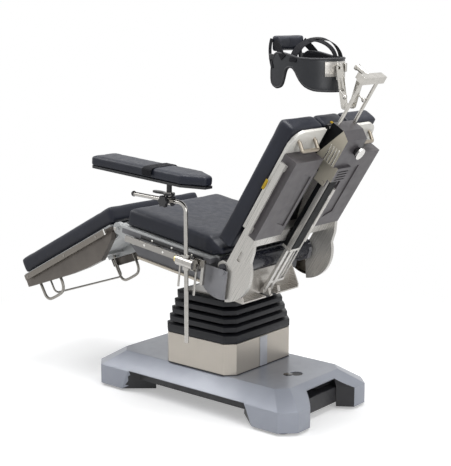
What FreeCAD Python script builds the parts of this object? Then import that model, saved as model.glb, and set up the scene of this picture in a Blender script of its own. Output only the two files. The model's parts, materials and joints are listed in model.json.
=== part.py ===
import FreeCAD, Part
import Sketcher
import math
import os
import re

# Operating table with a split beach-chair back section, a head support and an armboard.
# Millimetres. Origin on the floor under the column axis, +X to the head end, +Z up.
# Near side is -Y, far side is +Y.

SIZES = [
    # Base cover
    ("base_length", 1120), ("base_width", 600), ("base_corner", 60),
    ("skirt_bottom", 12), ("skirt_top", 98), ("deck_height", 160),
    ("deck_length", 930), ("deck_width", 430), ("deck_corner", 45), ("cover_wall", 4),
    ("side_gap_floor", 750), ("side_gap_roof", 660), ("side_gap_inner", 500),
    ("side_gap_height", 100), ("side_gap_depth", 100),
    ("end_gap_outer", 322), ("end_gap_inner", 232), ("end_gap_height", 150),
    ("end_gap_depth", 66), ("port_radius", 28), ("port_inset", 190),
    ("port_x", "=base_length/2-port_inset"),
    # Base frame, feet and castors
    ("beam_width", 48), ("beam_bottom", 30), ("beam_top", 96), ("floor_plate_thick", 10),
    ("foot_inset", 80), ("foot_x", "=base_length/2-foot_inset"), ("foot_y", 240),
    ("foot_radius", 32), ("foot_thick", 8), ("foot_stem", 14),
    ("castor_inset", 160), ("castor_x", "=base_length/2-castor_inset"), ("castor_y", 246),
    ("castor_radius", 25), ("castor_width", 18),
    ("castor_trail", 14), ("castor_lift", 3), ("castor_stem", 8), ("castor_axle", 4),
    ("running_gap", 0.05), ("seat_gap", 0.3),
    # Column
    ("shroud_length", 390), ("shroud_width", 444), ("shroud_corner", 39),
    ("shroud_bottom", 160), ("shroud_top", 296), ("shroud_wall", 2),
    ("column_side", 150), ("column_wall", 6), ("column_play", 0.5),
    ("outer_top", 290), ("mid_bottom", 132), ("mid_top", 392), ("inner_bottom", 152),
    ("head_plate_z", 475), ("head_plate_thick", 8), ("head_plate_length", 240),
    ("head_plate_width", 300), ("ear_thick", 16), ("ear_gap", 116), ("ear_width", 68),
    ("ear_top", 588), ("roll_axis_z", 560), ("pitch_axis_z", 600), ("trunnion_radius", 12),
    ("cradle_width", 104), ("cradle_bottom", 536), ("cradle_top", 620),
    ("ram_radius", 26), ("ram_rod_radius", 14), ("ram_top", 430), ("rod_bottom", 92),
    ("bellows_folds", 5), ("bellows_top", 474.7), ("bellows_lap", 2),
    ("bellows_low_x", "=shroud_length/2+bellows_lap"),
    ("bellows_low_y", "=shroud_width/2+bellows_lap"),
    ("bellows_high_x", 168), ("bellows_high_y", 190), ("bellows_depth", 17),
    ("inner_room", 66), ("bellows_corner", 42), ("bellows_wall", 3),
    # Section angles and hinge places
    ("seat_tilt", 8), ("back_angle", 58), ("leg_angle", 28),
    ("hinge_x", 212), ("hinge_z", 645), ("knee_u", -609), ("knee_w", 5),
    # Seat section
    ("pad_width", 600), ("pad_thick", 78), ("pad_round", 12), ("seat_front", -564),
    ("deck_plate_w", 21.7), ("deck_plate_thick", 10), ("deck_plate_width", 606),
    ("beam_y", 240), ("beam_thick", 22), ("beam_depth", 95), ("flange_width", 40),
    ("flange_thick", 10), ("strip_depth", 22),
    ("bracket_inner", 80), ("bracket_thick", 14), ("hinge_tube", 44), ("hinge_pin", 18),
    ("hub_radius", 30), ("tray_w", -157), ("tray_thick", 6), ("tray_width", 388),
    ("tray_front", -12), ("tray_rear", 46), ("web_thick", 6),
    ("clevis_x", 212), ("clevis_z", 503), ("clevis_thick", 17.4), ("clevis_radius", 13),
    ("hip_radius", 130), ("hip_y", 291), ("hip_depth", 14), ("hip_wall", 5), ("hip_edge", 34),
    ("rail_height", 25), ("rail_thick", 10), ("seat_rail_y", 315), ("seat_rail_top", 0),
    ("seat_rail_front", -526), ("seat_rail_rear", -92), ("standoff_radius", 8),
    ("casting_y", 266), ("casting_thick", 22), ("knee_radius", 26), ("knee_pin", 10),
    # Leg section
    ("leg_length", 693), ("leg_pad_w", 30), ("leg_plate_thick", 9), ("leg_beam_depth", 52),
    ("leg_cover_y", 294), ("leg_cover_wall", 3), ("leg_cover_width", 26),
    ("leg_rail_y", 311), ("leg_rail_top", 20), ("leg_rail_inset", 28),
    ("leg_rail_foot", "=leg_rail_inset-leg_length"), ("leg_rail_knee", -50),
    ("loop_radius", 7), ("loop_drop", -128), ("loop_inset", 41), ("loop_length", 148),
    ("loop_foot", "=loop_inset-leg_length"), ("loop_knee", "=loop_foot+loop_length"),
    ("release_radius", 4.5), ("release_inset", 82),
    ("release_u", "=release_inset-leg_length"), ("release_drop", -106), ("release_half", 222),
    ("release_w", 2),
    # Back section
    ("back_start", 80), ("back_end", 686), ("back_pad_w", 14), ("centre_half", 83),
    ("shoulder_gap", 1), ("plate_thick", 14), ("shoulder_start", 208), ("shoulder_end", 668),
    ("shoulder_half", 288), ("arm_y", 272), ("arm_thick", 18), ("arm_radius", 141),
    ("arm_depth", 60), ("yoke_start", 134), ("yoke_depth", 45), ("panel_start", 195),
    ("panel_end", 575), ("panel_inner", 115), ("panel_outer", 290), ("panel_back", -65),
    ("panel_front", -0.6), ("panel_wall", 4), ("back_rail_y", 305), ("back_rail_top", -15),
    ("back_rail_start", 205), ("back_rail_end", 550), ("spine_inner", 64), ("spine_outer", 80),
    ("spine_end", 549), ("handle_radius", 6), ("handle_u", 618), ("handle_reach", 38),
    ("handle_inner", 142), ("handle_outer", 244),
    ("socket_start", 550), ("socket_end", 700), ("socket_half", 68), ("socket_back", -96),
    ("strut_pivot_u", 460), ("strut_pivot_w", -75), ("strut_pin", 8), ("strut_half", 34),
    ("strut_depth", 44), ("strut_low", 345), ("strut_high", 18), ("strut_bore", 320),
    ("bar_inner", 9), ("bar_outer", 29), ("bar_depth", 12), ("bar_top", 180),
    ("gas_near", 50), ("gas_far", 76), ("gas_radius", 9), ("gas_rod", 4),
    # Head support
    ("rod_y", 55), ("rod_radius", 7), ("rod_w", -18), ("rod_start", 565), ("rod_end", 900),
    ("cross_height", 30), ("cross_half", 75), ("tee_radius", 11), ("tee_reach", 58),
    ("knob_u", 622), ("knob_y", 36), ("knob_radius", 21), ("knob_disc", 25),
    ("arm_pivot_u", 880), ("arm_pivot_w", 40), ("link_low_x", 608), ("link_low_z", 1300),
    ("link_high_x", 583), ("link_high_z", 1447), ("link_width", 26), ("link_thick", 10),
    ("joint_pin", 6), ("arm_plate_y", 22), ("link_plate_y", -36),
    ("ball_radius", 9), ("lever_radius", 3),
    ("helmet_x", 443), ("helmet_half", 120), ("helmet_front", 285),
    ("helmet_front_half", 97), ("helmet_wall", 6), ("helmet_low", 1350), ("helmet_high", 1502),
    ("ear_arch_x", 415), ("ear_arch_z", 1408), ("ear_arch_radius", 30), ("liner_thick", 16),
    # Armboard
    ("post_x", 83), ("post_y", -370), ("post_radius", 9), ("post_bottom", 326),
    ("post_top", 905), ("post_end_x", -206), ("post_end_z", 916), ("post_bend", 38),
    ("clamp_z", 664), ("clamp_half", 34), ("sleeve_radius", 15), ("sleeve_height", 64),
    ("board_x", -8), ("board_tilt", 4), ("board_z", 990), ("board_low", -400),
    ("board_high", 212), ("board_half", 78), ("board_plate", 10), ("board_pad", 42),
    ("swivel_radius", 11), ("star_radius", 26),
]

doc = FreeCAD.newDocument("OperatingTable")
sheet = doc.addObject("Spreadsheet::Sheet", "Sizes")
for row, (alias, number) in enumerate(SIZES, start=1):
    sheet.set(f"A{row}", alias)
    sheet.set(f"B{row}", str(number))
    sheet.setAlias(f"B{row}", alias)
doc.recompute()

FUNCTIONS = ("cos", "sin", "tan", "sqrt")
PLANE_AXIS = {"XY": "z", "XZ": "y", "YZ": "x"}
subparts = []


def linked(text):
    """An expression in which every size name points at the sheet."""
    return re.sub(
        r"[a-z_]+[a-z_0-9]*",
        lambda word: word.group(0) if word.group(0) in FUNCTIONS else "Sizes." + word.group(0),
        str(text),
    )


def size(alias):
    return float(sheet.get(alias))


def bind(item, **sizes):
    for name, text in sizes.items():
        item.setExpression(name.replace("__", "."), linked(text))


def bind_base(item, x="0", y="0", z="0"):
    bind(item, Placement__Base__x=x, Placement__Base__y=y, Placement__Base__z=z)


def block(name, x, y, z):
    """A box between two corners, given as (low, high) on each axis."""
    item = doc.addObject("Part::Box", name)
    bind(item, Length=f"({x[1]})-({x[0]})", Width=f"({y[1]})-({y[0]})")
    bind(item, Height=f"({z[1]})-({z[0]})")
    bind_base(item, x[0], y[0], z[0])
    return item


TURNS = {
    "x": FreeCAD.Rotation(FreeCAD.Vector(0, 1, 0), 90),
    "y": FreeCAD.Rotation(FreeCAD.Vector(1, 0, 0), -90),
    "z": FreeCAD.Rotation(),
}


def bar(name, radius, axis, start, length):
    """A round bar from a start point along +axis."""
    item = doc.addObject("Part::Cylinder", name)
    item.Placement.Rotation = TURNS[axis]
    bind(item, Radius=radius, Height=length)
    bind_base(item, *start)
    return item


def ball(name, radius, centre):
    item = doc.addObject("Part::Sphere", name)
    bind(item, Radius=radius)
    bind_base(item, *centre)
    return item


def outline(sketch, points):
    """A closed polygon whose corners are held to the sheet."""
    first = sketch.GeometryCount
    count = len(points)
    ring = [
        FreeCAD.Vector(math.cos(2 * math.pi * k / count), math.sin(2 * math.pi * k / count), 0)
        for k in range(count)
    ]
    for k in range(count):
        sketch.addGeometry(Part.LineSegment(ring[k] * 100, ring[(k + 1) % count] * 100))
    for k in range(count):
        after = first + (k + 1) % count
        sketch.addConstraint(Sketcher.Constraint("Coincident", first + k, 2, after, 1))
    for k, corner in enumerate(points):
        for kind, text in zip(("DistanceX", "DistanceY"), corner):
            place = sketch.addConstraint(Sketcher.Constraint(kind, -1, 1, first + k, 1, 1.0))
            sketch.setExpression(f"Constraints[{place}]", linked(text))


def sketch_in(body, plane, points, offset=None):
    sketch = body.newObject("Sketcher::SketchObject", body.Name + "Outline")
    origin_planes = {item.Role: item for item in body.Origin.OriginFeatures}
    sketch.AttachmentSupport = [(origin_planes[plane + "_Plane"], "")]
    sketch.MapMode = "FlatFace"
    if offset is not None:
        sketch.setExpression("AttachmentOffset.Base.z", linked(offset))
    outline(sketch, points)
    return sketch


def prism(name, plane, points, depth, start="0", rounding=None):
    """A polygon in a plane, padded along the plane's positive axis from start."""
    body = doc.addObject("PartDesign::Body", name)
    pad = body.newObject("PartDesign::Pad", name + "Pad")
    pad.Profile = sketch_in(body, plane, points)
    bind(pad, Length=depth)
    pad.Reversed = plane == "XZ"
    bind(body, **{"Placement__Base__" + PLANE_AXIS[plane]: start})
    if rounding:
        doc.recompute()
        fillet = body.newObject("PartDesign::Fillet", name + "Round")
        fillet.Base = (pad, [""])
        fillet.UseAllEdges = True
        bind(fillet, Radius=rounding)
    return body


def loft(name, plane, sections):
    """A ruled loft through polygons, each with its height over the plane."""
    body = doc.addObject("PartDesign::Body", name)
    sketches = [sketch_in(body, plane, points, offset) for points, offset in sections]
    solid = body.newObject("PartDesign::AdditiveLoft", name + "Loft")
    solid.Profile = sketches[0]
    solid.Sections = sketches[1:]
    solid.Ruled = True
    return body


def turned(name, profile, start=("0", "0", "0"), axis="z"):
    """A profile of (radius, height) corners revolved round an axis."""
    body = doc.addObject("PartDesign::Body", name)
    body.Placement.Rotation = TURNS[axis]
    sketch = sketch_in(body, "XZ", profile)
    solid = body.newObject("PartDesign::Revolution", name + "Turn")
    solid.Profile = sketch
    solid.ReferenceAxis = (sketch, ["V_Axis"])
    solid.Angle = 360
    bind_base(body, *start)
    return body


def cut(name, base, *tools):
    item = doc.addObject("Part::Cut", name)
    item.Base = base
    item.Tool = tools[0] if len(tools) == 1 else fuse(name + "Tools", *tools)
    return item


def fuse(name, *parts):
    item = doc.addObject("Part::MultiFuse", name)
    item.Shapes = list(parts)
    item.Refine = True
    return item


def common(name, first, second):
    item = doc.addObject("Part::Common", name)
    item.Base = first
    item.Tool = second
    return item


def group(name, *parts):
    item = doc.addObject("Part::Compound", name)
    item.Links = list(parts)
    return item


def mirrored(name, source):
    """The same piece on the other side of the table's long axis."""
    item = doc.addObject("Part::Mirroring", name)
    item.Source = source
    item.Normal = FreeCAD.Vector(0, 1, 0)
    return item


def both_sides(name, source):
    return group(name, source, mirrored(name + "Far", source))


def bent_path(points, bend):
    """Straight runs joined by tangent arcs of one radius."""
    corners = [FreeCAD.Vector(*point) for point in points]
    edges = []
    last = corners[0]
    for before, corner, after in zip(corners, corners[1:], corners[2:]):
        inward = (before - corner).normalize()
        outward = (after - corner).normalize()
        half = inward.getAngle(outward) / 2
        reach = bend / math.tan(half)
        bisector = (inward + outward).normalize()
        middle = corner + bisector * (bend / math.sin(half) - bend)
        enter = corner + inward * reach
        leave = corner + outward * reach
        edges.append(Part.LineSegment(last, enter).toShape())
        edges.append(Part.Arc(enter, middle, leave).toShape())
        last = leave
    edges.append(Part.LineSegment(last, corners[-1]).toShape())
    return Part.Wire(edges)


def bent_tube(name, points, bend, radius):
    """A round bar bent along a path, swept with its section square to the start."""
    path = bent_path(points, bend)
    start = FreeCAD.Vector(*points[0])
    heading = (FreeCAD.Vector(*points[1]) - start).normalize()
    ring = Part.Wire(Part.makeCircle(radius, start, heading))
    item = doc.addObject("Part::Feature", name)
    item.Shape = path.makePipeShell([ring], True, True)
    return item


def keep(item, node, frame=None):
    """Names a finished sub-part and puts it in its section's frame."""
    if frame is not None and item.ExpressionEngine:
        item = group("Placed" + item.Name, item)
    item.Label = node
    if frame is not None:
        item.Placement = frame
    subparts.append(item)
    return item


def pitched(x, z, angle):
    """A frame at (x, z) turned about the table's cross axis."""
    turn = FreeCAD.Rotation(FreeCAD.Vector(0, 1, 0), angle)
    return FreeCAD.Placement(FreeCAD.Vector(x, 0, z), turn)


seat_frame = pitched(size("hinge_x"), size("hinge_z"), size("seat_tilt"))
back_frame = pitched(size("hinge_x"), size("hinge_z"), -size("back_angle"))
knee_place = seat_frame.multVec(FreeCAD.Vector(size("knee_u"), 0, size("knee_w")))
leg_frame = pitched(knee_place.x, knee_place.z, -size("leg_angle"))


def local_place(frame, x, z):
    """A world point in the table's middle plane, seen from a section's frame."""
    return frame.inverse().multVec(FreeCAD.Vector(x, 0, z))


# Base cover

def cut_corners(half_x, half_y, corner):
    """A rectangle about the origin with its corners cut off."""
    return [
        (f"{half_x}-({corner})", f"-({half_y})"), (f"{half_x}", f"-({half_y})+({corner})"),
        (f"{half_x}", f"{half_y}-({corner})"), (f"{half_x}-({corner})", f"{half_y}"),
        (f"-({half_x})+({corner})", f"{half_y}"), (f"-({half_x})", f"{half_y}-({corner})"),
        (f"-({half_x})", f"-({half_y})+({corner})"), (f"-({half_x})+({corner})", f"-({half_y})"),
    ]


def cover_form(name, inset):
    """The moulded form: upright skirt, then a long bevel up to the deck."""
    skirt = cut_corners(f"base_length/2-{inset}", f"base_width/2-{inset}", "base_corner")
    deck = cut_corners(f"deck_length/2-{inset}", f"deck_width/2-{inset}", "deck_corner")
    sections = [(skirt, "skirt_bottom"), (skirt, "skirt_top"), (deck, f"deck_height-{inset}")]
    return loft(name, "XY", sections)


def toe_gaps(name, grow, depth_less):
    """The openings between the feet, wider at the floor and at the outside."""
    outer_y = "base_width/2+1"
    inner_y = f"base_width/2-side_gap_depth+{depth_less}"
    roof = f"side_gap_height+{grow}"
    floor_half = f"side_gap_floor/2+{grow}"
    roof_half = f"side_gap_roof/2+{grow}"
    inner_half = f"side_gap_inner/2+{grow}"
    outside = [("-(" + floor_half + ")", "0"), (floor_half, "0"), (roof_half, roof),
               ("-(" + roof_half + ")", roof)]
    inside = [("-(" + inner_half + ")", "0"), (inner_half, "0"), (inner_half, roof),
              ("-(" + inner_half + ")", roof)]
    near = loft(name + "Side", "XZ", [(outside, outer_y), (inside, inner_y)])
    end_roof = f"end_gap_height+{grow}"
    mouth_half = f"end_gap_outer/2+{grow}"
    throat_half = f"end_gap_inner/2+{grow}"
    mouth = [("-(" + mouth_half + ")", "0"), (mouth_half, "0"), (mouth_half, "skirt_top"),
             (throat_half, end_roof), ("-(" + throat_half + ")", end_roof),
             ("-(" + mouth_half + ")", "skirt_top")]
    throat = [("-(" + throat_half + ")", "0"), (throat_half, "0"),
              (throat_half, "skirt_top"), (f"{throat_half}-20", end_roof),
              ("-(" + f"{throat_half}-20" + ")", end_roof), ("-(" + throat_half + ")", "skirt_top")]
    head = loft(name + "End", "YZ", [(mouth, "base_length/2+1"),
                                     (throat, f"base_length/2-end_gap_depth+{depth_less}")])
    foot = doc.addObject("Part::Mirroring", name + "Foot")
    foot.Source = head
    foot.Normal = FreeCAD.Vector(1, 0, 0)
    return fuse(name, near, mirrored(name + "Far", near), head, foot)


cover_outside = cut("CoverOutside", cover_form("CoverSkin", "0"), toe_gaps("Gaps", "0", "0"))
cover_inside = cut("CoverInside", cover_form("CoverHollow", "cover_wall"),
                   toe_gaps("GapWalls", "cover_wall", "1.5"))
mouth_low = block("CoverMouth", ("-shroud_length/2+20", "shroud_length/2-20"),
                  ("-shroud_width/2+20", "shroud_width/2-20"), ("deck_height-20", "deck_height+5"))
port = bar("CoverPort", "port_radius", "z", ("port_x", "0", "deck_height-20"), "30")
keep(cut("BaseCover", cover_outside, cover_inside, mouth_low, port), "base_cover")

# Base frame: two long beams, two cross beams, castor plates and the column plate

beam_outer = "base_width/2-side_gap_depth-0.5"
long_beam = block("LongBeam", ("-base_length/2+end_gap_depth+2", "base_length/2-end_gap_depth-2"),
                  (f"-({beam_outer})", f"beam_width-({beam_outer})"), ("beam_bottom", "beam_top"))
cross_beam = block("CrossBeam", ("base_length/2-end_gap_depth-2-beam_width",
                                 "base_length/2-end_gap_depth-2"),
                   (f"-({beam_outer})", f"{beam_outer}"), ("beam_bottom", "beam_top"))
cross_back = doc.addObject("Part::Mirroring", "CrossBack")
cross_back.Source = cross_beam
cross_back.Normal = FreeCAD.Vector(1, 0, 0)
column_plate = block("ColumnPlate", ("-shroud_length/2+30", "shroud_length/2-30"),
                     (f"-({beam_outer})", f"{beam_outer}"),
                     ("beam_top", "beam_top+floor_plate_thick"))
port_boss = bar("PortBoss", "port_radius-2", "z", ("port_x", "0", "beam_top+1"),
                "deck_height-beam_top-3")
port_shelf = block("PortShelf", ("port_x-40", "base_length/2-end_gap_depth-4"), ("-40", "40"),
                   ("beam_top-8", "beam_top+1"))
outriggers = []
for end, sign_x in (("Head", ""), ("Foot", "-")):
    for side, sign_y in (("Near", "-"), ("Far", "")):
        low_x, high_x = ("castor_x-24", "foot_x+18")
        span_x = (low_x, high_x) if not sign_x else (f"-({high_x})", f"-({low_x})")
        span_y = (f"({beam_outer})-10", "foot_y+22")
        if sign_y:
            span_y = ("-(foot_y+22)", f"-({beam_outer})+10")
        plate = block(f"Outrigger{end}{side}", span_x, span_y, ("beam_top-12", "beam_top-2"))
        hole = bar(f"CastorBore{end}{side}", "castor_stem+running_gap", "z",
                   (f"{sign_x}castor_x", f"{sign_y}castor_y", "beam_top-20"), "30")
        outriggers.append(cut(f"Pad{end}{side}", plate, hole))
posts = [
    bar(f"CoverPost{k}", "8", "z", (x, y, "beam_top"), "deck_height-cover_wall-0.3-beam_top")
    for k, (x, y) in enumerate((("310", "-175"), ("310", "175"), ("-310", "-175"),
                                ("-310", "175")))
]
frame_solid = fuse("FrameSolid", long_beam, mirrored("LongBeamFar", long_beam), cross_beam,
                   cross_back, column_plate, port_boss, port_shelf, *outriggers, *posts)
ram_hole = bar("RamHole", "ram_radius+1", "z", ("0", "0", "beam_top-5"), "30")
keep(cut("BaseFrame", frame_solid, ram_hole), "base_frame")

feet = []
for end, sign_x in (("Head", ""), ("Foot", "-")):
    for side, sign_y in (("Near", "-"), ("Far", "")):
        disc = bar(f"Disc{end}{side}", "foot_radius", "z",
                   (f"{sign_x}foot_x", f"{sign_y}foot_y", "0"), "foot_thick")
        stem = bar(f"Stem{end}{side}", "foot_stem", "z",
                   (f"{sign_x}foot_x", f"{sign_y}foot_y", "foot_thick"),
                   "beam_top-12-foot_thick")
        feet.append(fuse(f"Foot{end}{side}", disc, stem))
keep(group("BrakeFeet", *feet), "brake_feet")


def castor(end, side, sign_x, sign_y):
    """A raised castor: fork on a swivel stem and a wheel on its axle."""
    x = f"{sign_x}castor_x"
    y = f"{sign_y}castor_y"
    axle_x = f"{x}+castor_trail"
    axle_z = "castor_radius+castor_lift"
    tag = end + side
    crown_low = "2*castor_radius+castor_lift+3"
    crown = block("Crown" + tag, (f"{x}-11", f"{axle_x}+8"),
                  (f"{y}-castor_width/2-4", f"{y}+castor_width/2+4"),
                  (crown_low, crown_low + "+9"))
    stem = bar("SwivelStem" + tag, "castor_stem", "z", (x, y, crown_low + "+9"),
               f"beam_top+1-({crown_low}+9)")
    cheeks = []
    for near_far, low, high in (("A", "castor_width/2+1", "castor_width/2+4"),
                                ("B", "-castor_width/2-4", "-castor_width/2-1")):
        cheeks.append(block("Cheek" + near_far + tag, (f"{axle_x}-8", f"{axle_x}+8"),
                            (f"{y}+({low})", f"{y}+({high})"), (axle_z + "-8", crown_low)))
    axle = bar("Axle" + tag, "castor_axle", "y", (axle_x, f"{y}-castor_width/2-4", axle_z),
               "castor_width+8")
    fork = keep(fuse("Fork" + tag, crown, stem, axle, *cheeks),
                f"castor_fork_{end.lower()}_{side.lower()}")
    tyre = turned("Tyre" + tag, [
        ("castor_axle+running_gap", "-castor_width/2"), ("castor_radius-6", "-castor_width/2"),
        ("castor_radius-4", "-castor_width/2+3"), ("castor_radius", "-castor_width/2+5"),
        ("castor_radius", "castor_width/2-5"), ("castor_radius-4", "castor_width/2-3"),
        ("castor_radius-6", "castor_width/2"), ("castor_axle+running_gap", "castor_width/2"),
    ], (axle_x, y, axle_z), "y")
    keep(tyre, f"castor_wheel_{end.lower()}_{side.lower()}")
    return fork


for end, sign_x in (("Head", ""), ("Foot", "-")):
    for side, sign_y in (("Near", "-"), ("Far", "")):
        castor(end, side, sign_x, sign_y)

# Column: shroud, three square tubes, lifting ram, head plate and tilt cradle


def square_tube(name, half, wall, low, high):
    outer = block(name + "Outer", (f"-({half})", half), (f"-({half})", half), (low, high))
    inner_half = f"({half})-({wall})"
    bore = block(name + "Bore", (f"-({inner_half})", inner_half), (f"-({inner_half})", inner_half),
                 (f"{low}-1", f"{high}+1"))
    return cut(name, outer, bore)


shroud_skin = prism("ShroudSkin", "XY", cut_corners("shroud_length/2", "shroud_width/2",
                                                    "shroud_corner"),
                    "shroud_top-shroud_bottom", "shroud_bottom")
shroud_room = prism("ShroudRoom", "XY", cut_corners("shroud_length/2-shroud_wall",
                                                    "shroud_width/2-shroud_wall",
                                                    "shroud_corner"),
                    "shroud_top-shroud_bottom", "shroud_bottom-3")
shroud_mouth = block("ShroudMouth", ("-column_side/2-4", "column_side/2+4"),
                     ("-column_side/2-4", "column_side/2+4"), ("shroud_top-10", "shroud_top+5"))
seam = block("ShroudSeam", ("shroud_length/2-0.5", "shroud_length/2+1.5"), ("-14", "14"),
             ("shroud_bottom", "shroud_top-4"))
keep(fuse("ColumnShroud", cut("ShroudBox", shroud_skin, shroud_room, shroud_mouth), seam),
     "column_shroud")

plate_top = "beam_top+floor_plate_thick"
mid_half = "column_side/2-column_wall-column_play"
inner_half = "column_side/2-2*column_wall-2*column_play"
keep(square_tube("ColumnOuter", "column_side/2", "column_wall", plate_top, "outer_top"),
     "column_outer")
keep(square_tube("ColumnMid", mid_half, "column_wall", "mid_bottom", "mid_top"), "column_mid")
ram_barrel = bar("RamBarrel", "ram_radius", "z", ("0", "0", "beam_bottom+10"),
                 "ram_top-beam_bottom-10")
ram_bore = bar("RamBore", "ram_rod_radius+running_gap", "z", ("0", "0", "beam_bottom+18"),
               "ram_top")
keep(cut("LiftRam", ram_barrel, ram_bore), "lift_ram")

inner_tube = square_tube("InnerTube", inner_half, "column_wall", "inner_bottom", "head_plate_z")
head_plate = block("HeadPlate", ("-head_plate_length/2", "head_plate_length/2"),
                   ("-head_plate_width/2", "head_plate_width/2"),
                   ("head_plate_z", "head_plate_z+head_plate_thick"))
ears = []
for name, low in (("EarHead", "ear_gap/2"), ("EarFoot", "-ear_gap/2-ear_thick")):
    ears.append(prism(name, "YZ", [
        ("-ear_width/2-16", "head_plate_z+head_plate_thick"),
        ("ear_width/2+16", "head_plate_z+head_plate_thick"), ("ear_width/2", "roll_axis_z"),
        ("ear_width/2-12", "ear_top"), ("-ear_width/2+12", "ear_top"),
        ("-ear_width/2", "roll_axis_z"),
    ], "ear_thick", low))
roll_bore = bar("RollBore", "trunnion_radius+running_gap", "x",
                ("-head_plate_length/2", "0", "roll_axis_z"), "head_plate_length")
lift_rod = bar("LiftRod", "ram_rod_radius", "z", ("0", "0", "rod_bottom"),
               "head_plate_z-rod_bottom")
keep(cut("LiftHead", fuse("LiftHeadSolid", inner_tube, head_plate, lift_rod, *ears), roll_bore),
     "lift_head")

cradle_block = prism("CradleBlock", "YZ", [
    ("-cradle_width/2+14", "cradle_bottom"), ("cradle_width/2-14", "cradle_bottom"),
    ("cradle_width/2", "roll_axis_z"), ("cradle_width/2", "cradle_top-12"),
    ("cradle_width/2-12", "cradle_top"), ("-cradle_width/2+12", "cradle_top"),
    ("-cradle_width/2", "cradle_top-12"), ("-cradle_width/2", "roll_axis_z"),
], "ear_gap-2*seat_gap", "-ear_gap/2+seat_gap")
roll_pins = bar("RollPins", "trunnion_radius", "x", ("-ear_gap/2-ear_thick", "0", "roll_axis_z"),
                "ear_gap+2*ear_thick")
pitch_pins = bar("PitchPins", "trunnion_radius", "y",
                 ("0", "-bracket_inner-bracket_thick", "pitch_axis_z"),
                 "2*(bracket_inner+bracket_thick)")
keep(fuse("TiltCradle", cradle_block, roll_pins, pitch_pins), "tilt_cradle")


def bellows_form(name, inset):
    """Folds that step in towards the top, each with its own ridge and valley."""
    folds = int(size("bellows_folds"))
    sections = []
    for level in range(2 * folds + 1):
        share = f"({level}/(2*bellows_folds))"
        fold = "0" if level % 2 == 0 else "bellows_depth"
        if level == 0:
            fold = "0"
        half_x = f"bellows_low_x-(bellows_low_x-bellows_high_x)*{share}-({fold})-({inset})"
        half_y = f"bellows_low_y-(bellows_low_y-bellows_high_y)*{share}-({fold})-({inset})"
        height = f"shroud_top+seat_gap+(bellows_top-shroud_top-seat_gap)*{share}"
        sections.append((cut_corners(half_x, half_y, "bellows_corner"), height))
    return loft(name, "XY", sections)


bellows_lid = prism("BellowsLid", "XY", cut_corners("bellows_high_x-1", "bellows_high_y-1",
                                                    "bellows_corner"),
                    "bellows_wall", "bellows_top-bellows_wall")
lid_hole = block("LidHole", ("-inner_room", "inner_room"), ("-inner_room", "inner_room"),
                 ("bellows_top-20", "bellows_top+5"))
bellows_wall = cut("BellowsWall", bellows_form("BellowsSkin", "0"),
                   bellows_form("BellowsRoom", "bellows_wall"))
keep(cut("Bellows", fuse("BellowsClosed", bellows_wall, bellows_lid), lid_hole), "bellows")

# Seat section, drawn flat about the back hinge: x along the seat, z square to it

pitch_axis = local_place(seat_frame, 0, size("pitch_axis_z"))
seat_pad_top = "deck_plate_w+deck_plate_thick+seat_gap+pad_thick"
seat_pad_low = "deck_plate_w+deck_plate_thick+seat_gap"
keep(prism("SeatCushion", "XZ", [
    ("seat_front", seat_pad_low), ("-46", seat_pad_low), ("-34", "47"), ("-2", "47"),
    ("-2", "70"), ("-8", "76"),
    ("-70", "98"), ("-71", seat_pad_top), ("seat_front+10", seat_pad_top),
], "pad_width", "-pad_width/2", "pad_round/3"), "seat_cushion", seat_frame)

deck = block("SeatDeckPlate", ("seat_front-8", "-hinge_tube-2"), ("-deck_plate_width/2",
                                                      "deck_plate_width/2"),
             ("deck_plate_w", "deck_plate_w+deck_plate_thick"))
deck_notches = [
    block("DeckNotch" + side, ("-64", "10"), span, ("deck_plate_w-5", seat_pad_top))
    for side, span in (("Near", ("-deck_plate_width/2-1", "-beam_y-beam_thick-2")),
                       ("Far", ("beam_y+beam_thick+2", "deck_plate_width/2+1")))
]
keep(cut("SeatDeck", deck, *deck_notches), "seat_deck", seat_frame)

side_beam = prism("SideBeam", "XZ", [
    ("seat_front+10", "deck_plate_w"), ("seat_front+10", "-beam_depth+46"),
    ("seat_front+70", "-beam_depth"), ("-90", "-beam_depth"), ("-40", "-62"), ("0", "-62"),
    ("40", "-40"), ("48", "0"), ("34", "30"), ("0", "deck_plate_w"),
], "beam_thick", "-beam_y-beam_thick")
flange = block("BeamFlange", ("seat_front+70", "-90"),
               ("-beam_y-flange_width+10", "-beam_y+10"),
               ("-beam_depth-flange_thick", "-beam_depth"))
side_strip = block("SideStrip", ("seat_front-2", "-64"),
                   ("-deck_plate_width/2", "-beam_y-beam_thick"),
                   ("deck_plate_w-strip_depth", "deck_plate_w"))
near_side = fuse("SeatNearSide", side_beam, flange, side_strip)
cross_front = block("CrossFront", ("seat_front+24", "seat_front+64"), ("-beam_y", "beam_y"),
                    ("-18", "deck_plate_w"))
cross_pitch = block("CrossPitch", (f"{pitch_axis.x}-56", f"{pitch_axis.x}+56"),
                    ("-beam_y", "beam_y"), ("4", "deck_plate_w"))
cross_rear = block("CrossRear", ("tray_front-14", "tray_front"), ("-beam_y", "beam_y"),
                   ("-92", "-58"))
brackets = []
for side, low in (("Near", "-bracket_inner-bracket_thick"), ("Far", "bracket_inner")):
    brackets.append(prism("PitchBracket" + side, "XZ", [
        (f"{pitch_axis.x}-56", "4"), (f"{pitch_axis.x}-22", f"{pitch_axis.z}-22"),
        (f"{pitch_axis.x}+22", f"{pitch_axis.z}-22"), (f"{pitch_axis.x}+56", "4"),
    ], "bracket_thick", low))
seat_solid = fuse("SeatSolid", near_side, mirrored("SeatFarSide", near_side), cross_front,
                  cross_pitch, cross_rear, *brackets)
pitch_bore = bar("PitchBore", "trunnion_radius+running_gap", "y",
                 (f"{pitch_axis.x}", "-120", f"{pitch_axis.z}"), "240")
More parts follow.
